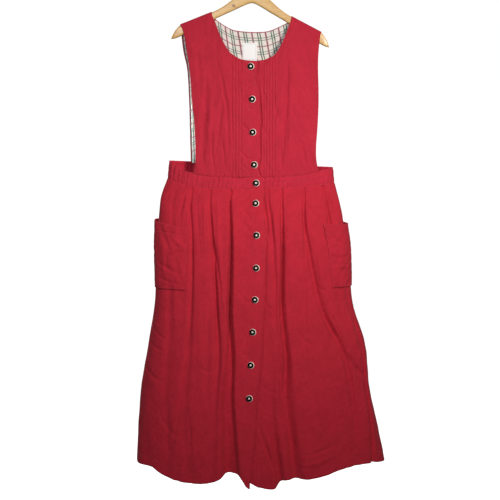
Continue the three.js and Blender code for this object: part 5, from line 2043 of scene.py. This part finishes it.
@dataclass
class Hanger:
    """A plain wooden coat hanger with a steel hook, tilted a little."""

    tilt: float = 3.0
    thickness: float = 12.0
    wire: float = 3.8
    loop: float = 22.0
    shank_end: float = -76.0
    opening: float = 212.0
    bend_start: float = -62.0
    bend_points: int = 19
    bend_in: tuple[Pair, ...] = ((0.3, -56.0), (4.0, -48.6))
    squareness: Pair = (4.0, 4.5)
    end_squareness: float = 24.0
    stations: int = 161
    around: int = 36
    wire_stations: int = 240
    wire_around: int = 20
    outline: Columns = field(
        default_factory=lambda: {
            "x": (0, 10, 16, 21, 32, 50, 75, 105, 150, 186, 202, 209),
            "top": (
                -57.5, -58.5, -62, -72, -86, -101,
                -121, -138.5, -158.7, -174.9, -193, -208,
            ),
            "low": (
                -108, -111, -113.5, -116, -121.5, -131,
                -143.5, -159.5, -184.8, -204.8, -213.2, -214.5,
            ),
        }
    )

    def turned(self, points: Array) -> Array:
        """Turns points about the hook's seat to where the hanger hangs."""
        turn = math.radians(self.tilt)
        x = points[:, 0] * math.cos(turn) + points[:, 2] * math.sin(turn)
        z = points[:, 2] * math.cos(turn) - points[:, 0] * math.sin(turn)
        return np.stack([x, points[:, 1], z], axis=-1)

    def build(self) -> None:
        """Makes the wooden body and the hook."""
        self.build_body()
        self.build_hook()

    def build_body(self) -> None:
        """Lofts rounded sections along the hanger's outline."""
        reach = self.outline["x"][-1]
        turn = 2 * np.pi * np.arange(self.around) / self.around
        side, up = (
            np.sign(wave) * np.abs(wave) ** (2 / power)
            for wave, power in zip((np.sin(turn), np.cos(turn)), self.squareness)
        )
        side = side * self.thickness / 2
        rings = []
        for x in np.sin(np.linspace(-1, 1, self.stations) * np.pi / 2) * reach:
            top, low = (read(self.outline, "x", edge, abs(x)) for edge in ("top", "low"))
            end = math.sqrt(max(1 - (abs(x) / reach) ** self.end_squareness, 0.0))
            end = max(end, 0.02)
            height = (top + low) / 2 + up * (top - low) / 2 * end
            rings.append(np.stack([np.full(self.around, x), side * end, height], -1))
        faces = ring_faces(self.stations, self.around)[:, ::-1]
        mesh = make_mesh("hanger_wood", self.turned(np.concatenate(rings)), faces)
        piece = new_object("hanger_wood", mesh)
        close_ends(piece)
        dress_piece(piece, LACQUERED_BEECH, Slot.WOOD, "hanger_body")

    def build_hook(self) -> None:
        """Bends the wire from the wood up and round its loop."""
        radius = self.loop + self.wire / 2
        path = [(0.0, self.shank_end), (0.0, self.shank_end + 10), *self.bend_in]
        for turn in np.radians(np.linspace(self.bend_start, self.opening, self.bend_points)):
            path.append((radius * math.cos(turn), radius * math.sin(turn) - self.loop))
        keys = np.linspace(0, 1, len(path))
        fine = np.linspace(0, 1, self.wire_stations)
        x, z = (read_curve(keys, np.array(part), fine) for part in zip(*path))
        center = np.stack([x, np.zeros_like(x), z], -1)
        along = np.gradient(center, axis=0)
        along /= np.linalg.norm(along, axis=1, keepdims=True)
        forward = np.array([0.0, 1.0, 0.0])
        side = np.cross(along, forward)
        ring = 2 * np.pi * np.arange(self.wire_around) / self.wire_around
        shell = side[:, None] * np.cos(ring)[None, :, None] + forward * np.sin(ring)[None, :, None]
        half = self.wire / 2 * np.sqrt(np.clip((1 - fine) * 60, 0.05, 1))[:, None, None]
        points = self.turned((center[:, None] + shell * half).reshape(-1, 3))
        faces = ring_faces(self.wire_stations, self.wire_around)
        piece = new_object("hanger_wire", make_mesh("hanger_wire", points, faces))
        close_ends(piece)
        dress_piece(piece, BRIGHT_STEEL, Slot.STEEL, "hanger_hook")


# -------- stitching


@dataclass
class Stitches:
    """Rows of stitches that Geometry Nodes lay along lines on the cloth."""

    length: float = 2.1
    pitch: float = 3.0
    thickness: float = 0.55

    def tree(self) -> bpy.types.NodeTree:
        """The node tree that lays one stitch at every pitch along each line."""
        tree = bpy.data.node_groups.new("stitch_rows", "GeometryNodeTree")
        face = tree.interface
        face.new_socket("Geometry", in_out="INPUT", socket_type="NodeSocketGeometry")
        for label in ("Stitch length", "Pitch", "Thickness"):
            face.new_socket(label, in_out="INPUT", socket_type="NodeSocketFloat")
        face.new_socket("Thread", in_out="INPUT", socket_type="NodeSocketMaterial")
        face.new_socket("Geometry", in_out="OUTPUT", socket_type="NodeSocketGeometry")
        g = Graph(tree)
        given, out = tree.nodes.new("NodeGroupInput").outputs, tree.nodes.new("NodeGroupOutput")
        curve = g.node("GeometryNodeMeshToCurve", Mesh=given["Geometry"]).outputs["Curve"]
        points = g.node(
            "GeometryNodeCurveToPoints", mode="LENGTH", Curve=curve, Length=given["Pitch"]
        ).outputs
        size = g.node(
            "ShaderNodeCombineXYZ",
            X=given["Thickness"],
            Y=given["Thickness"],
            Z=given["Stitch length"],
        )
        turn = g.node("FunctionNodeAlignRotationToVector", axis="Z", Vector=points["Tangent"])
        laid = g.node(
            "GeometryNodeInstanceOnPoints",
            Points=points["Points"],
            Instance=g.node("GeometryNodeMeshUVSphere", Segments=6, Rings=4, Radius=0.5).outputs[0],
            Rotation=turn.outputs["Rotation"],
            Scale=size.outputs[0],
        )
        form = laid.outputs["Instances"]
        for step in ("GeometryNodeRealizeInstances", "GeometryNodeSetShadeSmooth"):
            form = g.node(step, Geometry=form).outputs[0]
        look = g.node("GeometryNodeSetMaterial", Geometry=form, Material=given["Thread"])
        g.feed(out.inputs["Geometry"], look.outputs["Geometry"])
        return tree

    def sew(self, name: str, lines: list[Array], thread: Thread) -> None:
        """Sews along lines and makes the stitches one piece.

        Args:
            name: The piece's name.
            lines: Points of each line, in millimetres.
            thread: The thread.
        """
        mesh = bpy.data.meshes.new(f"{name}_lines")
        edges, count = [], 0
        for line in lines:
            edges += [(count + k, count + k + 1) for k in range(len(line) - 1)]
            count += len(line)
        mesh.from_pydata((np.concatenate(lines) * MM).tolist(), edges, [])
        carrier = new_object(f"{name}_lines", mesh)
        modifier = carrier.modifiers.new("stitch_rows", "NODES")
        modifier.node_group = bpy.data.node_groups.get("stitch_rows") or self.tree()
        values = {
            "Stitch length": self.length * MM,
            "Pitch": self.pitch * MM,
            "Thickness": self.thickness * MM,
            "Thread": thread.material(),
        }
        for item in modifier.node_group.interface.items_tree:
            if item.in_out == "INPUT" and item.name in values:
                modifier[item.identifier] = values[item.name]
        graph = bpy.context.evaluated_depsgraph_get()
        made = bpy.data.meshes.new_from_object(carrier.evaluated_get(graph))
        bpy.data.objects.remove(carrier)
        made.name = name
        dress_piece(new_object(name, made), thread, Slot.CLOTH)


# -------- studio


@dataclass
class Studio:
    """A pale sweep, soft lights and the camera in front of the dress."""

    eye: Triple = (-11.3, -2255.0, -512.5)
    aim: Triple = (-11.3, 0.0, -759.587)
    lens: float = 60.34
    floor: float = -1900.0
    wall: float = 3200.0
    bend: float = 700.0
    top: float = 4000.0
    near: float = -5000.0
    bend: float = 700.0
    bend_steps: int = 24
    half_width: float = 6000.0
    ambient: float = 0.09

    def build(self) -> None:
        """Makes the sweep, the lights and the camera."""
        self.build_sweep()
        self.build_lights()
        self.build_camera()

    def build_sweep(self) -> None:
        """A floor that bends up into a wall."""
        turn = np.linspace(-np.pi / 2, 0, self.bend_steps)
        back = self.wall - self.bend + self.bend * np.cos(turn)
        up = self.floor + self.bend + self.bend * np.sin(turn)
        line = [(self.near, self.floor), *zip(back, up), (self.wall, self.top)]
        grid = np.array([(side * self.half_width, y, z) for y, z in line for side in (-1, 1)])
        k = np.arange(len(line) - 1) * 2
        faces = np.stack([k, k + 1, k + 3, k + 2], -1)
        sweep = new_object("studio_sweep", make_mesh("studio_sweep", grid, faces))
        paint = bpy.data.materials.new("studio_white")
        paint.use_nodes = True
        Graph(paint.node_tree).fill(
            paint.node_tree.nodes["Principled BSDF"],
            Base_Color=(0.93, 0.93, 0.93, 1.0),
            Roughness=0.95,
            Emission_Color=WHITE,
            Emission_Strength=0.9,
        )
        sweep.data.materials.append(paint)
        sweep.visible_diffuse = False
        sweep.visible_glossy = False

    def add_light(
        self,
        name: str,
        place: Triple,
        aim: Triple,
        size: float,
        watts: float,
        spread: float,
        colour: Colour = (255, 255, 255),
    ) -> bpy.types.Object:
        """Adds a soft square light.

        Args:
            name: Its name.
            place: Where it stands, in metres.
            aim: Where it points, in metres.
            size: Its width, in metres.
            watts: Its power.
            spread: How widely it shines, in degrees.
            colour: Its colour.

        Returns:
            The light.
        """
        data = bpy.data.lights.new(name, "AREA")
        data.shape = "SQUARE"
        data.size = size
        data.energy = watts
        data.spread = math.radians(spread)
        data.color = linear(colour)[:3]
        light = bpy.data.objects.new(name, data)
        light.location = place
        light.rotation_euler = (Vector(aim) - Vector(place)).to_track_quat("-Z", "Y").to_euler()
        bpy.context.scene.collection.objects.link(light)
        return light

    def build_lights(self) -> None:
        """A key light from the upper right, weak fills all round and a pale room."""
        chest, neck = (0.0, 0.0, -0.5), (0.0, 0.0, -0.52)
        self.add_light("key", (0.8, -1.6, 0.05), neck, 0.25, 5.0, 80.0, (255, 251, 246))
        self.add_light("fill", (-0.45, -1.9, 0.15), chest, 0.5, 4.7, 105.0, (243, 247, 255))
        self.add_light("back", (-0.9, 1.9, 0.4), chest, 0.8, 30.0, 150.0)
        self.add_light("side_left", (-2.4, 0.6, 0.2), chest, 1.2, 3.0, 150.0)
        self.add_light("side_right", (2.4, 0.9, 0.2), chest, 1.2, 3.0, 150.0)
        strip = (-0.19, 0.0, -0.42)
        armhole = self.add_light("armhole", (-1.0, -1.5, -0.7), strip, 0.1, 0.13, 10.0)
        armhole.light_linking.receiver_collection = self.lining_only()
        bpy.context.scene.world = self.pale_room()
        bpy.context.scene.view_settings.view_transform = "Standard"

    def lining_only(self) -> bpy.types.Collection:
        """The pieces that the armhole's own light falls on."""
        lit = bpy.data.collections.new("lit_lining")
        lit.objects.link(bpy.data.objects["back_lining_cloth"])
        return lit

    def pale_room(self) -> bpy.types.World:
        """A room that looks pale all round, but gives off only a little light."""
        world = bpy.data.worlds.new("room")
        world.use_nodes = True
        g = Graph(world.node_tree)
        shown = world.node_tree.nodes["Background"]
        seen = g.node("ShaderNodeLightPath").outputs["Is Camera Ray"]
        shown = g.math("ADD", self.ambient, g.math("MULTIPLY", seen, 1.0 - self.ambient))
        g.fill(world.node_tree.nodes["Background"], Strength=shown, Color=WHITE)
        return world

    def build_camera(self) -> None:
        """Sets the camera in front of the dress, looking slightly down."""
        data = bpy.data.cameras.new("camera")
        data.sensor_width = 36.0
        data.lens = self.lens
        camera = bpy.data.objects.new("camera", data)
        place, aim = (Vector(v) * MM for v in (self.eye, self.aim))
        camera.location = place
        camera.rotation_euler = (aim - place).to_track_quat("-Z", "Y").to_euler()
        bpy.context.scene.collection.objects.link(camera)
        bpy.context.scene.camera = camera


# -------- assembly


def main() -> None:
    """Builds the dress, its hanger and the studio."""
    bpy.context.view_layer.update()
    Hanger().build()
    skirt = Skirt()
    skirt.build()
    band = Waistband()
    band.build()
    bodice = Bodice()
    bodice.build()
    pockets = [
        Pocket("pocket_right", -1, 0.2, -697, -676, -672, -858, RIGHT_POCKET_CREASES),
        Pocket("pocket_left", 1, 0.85, -687, -686, -680, -853, LEFT_POCKET_CREASES),
    ]
    for pocket in pockets:
        pocket.build(skirt)
    fronts = [bodice.surfaces["front_bodice_right"], band.surfaces["waistband_right"]]
    Button().build([*fronts, skirt.surfaces["skirt_front_right"]])
    stitches = Stitches()
    stitches.sew("bodice_stitching", bodice.stitch_lines(), RED_THREAD)
    stitches.sew("waistband_stitching", band.stitch_lines(), RED_THREAD)
    stitches.sew("skirt_stitching", skirt.stitch_lines(), RED_THREAD)
    for pocket in pockets:
        stitches.sew(f"{pocket.name}_stitching", pocket.stitch_lines(), RED_THREAD)
    Studio().build()


if __name__ == "__main__":
    main()
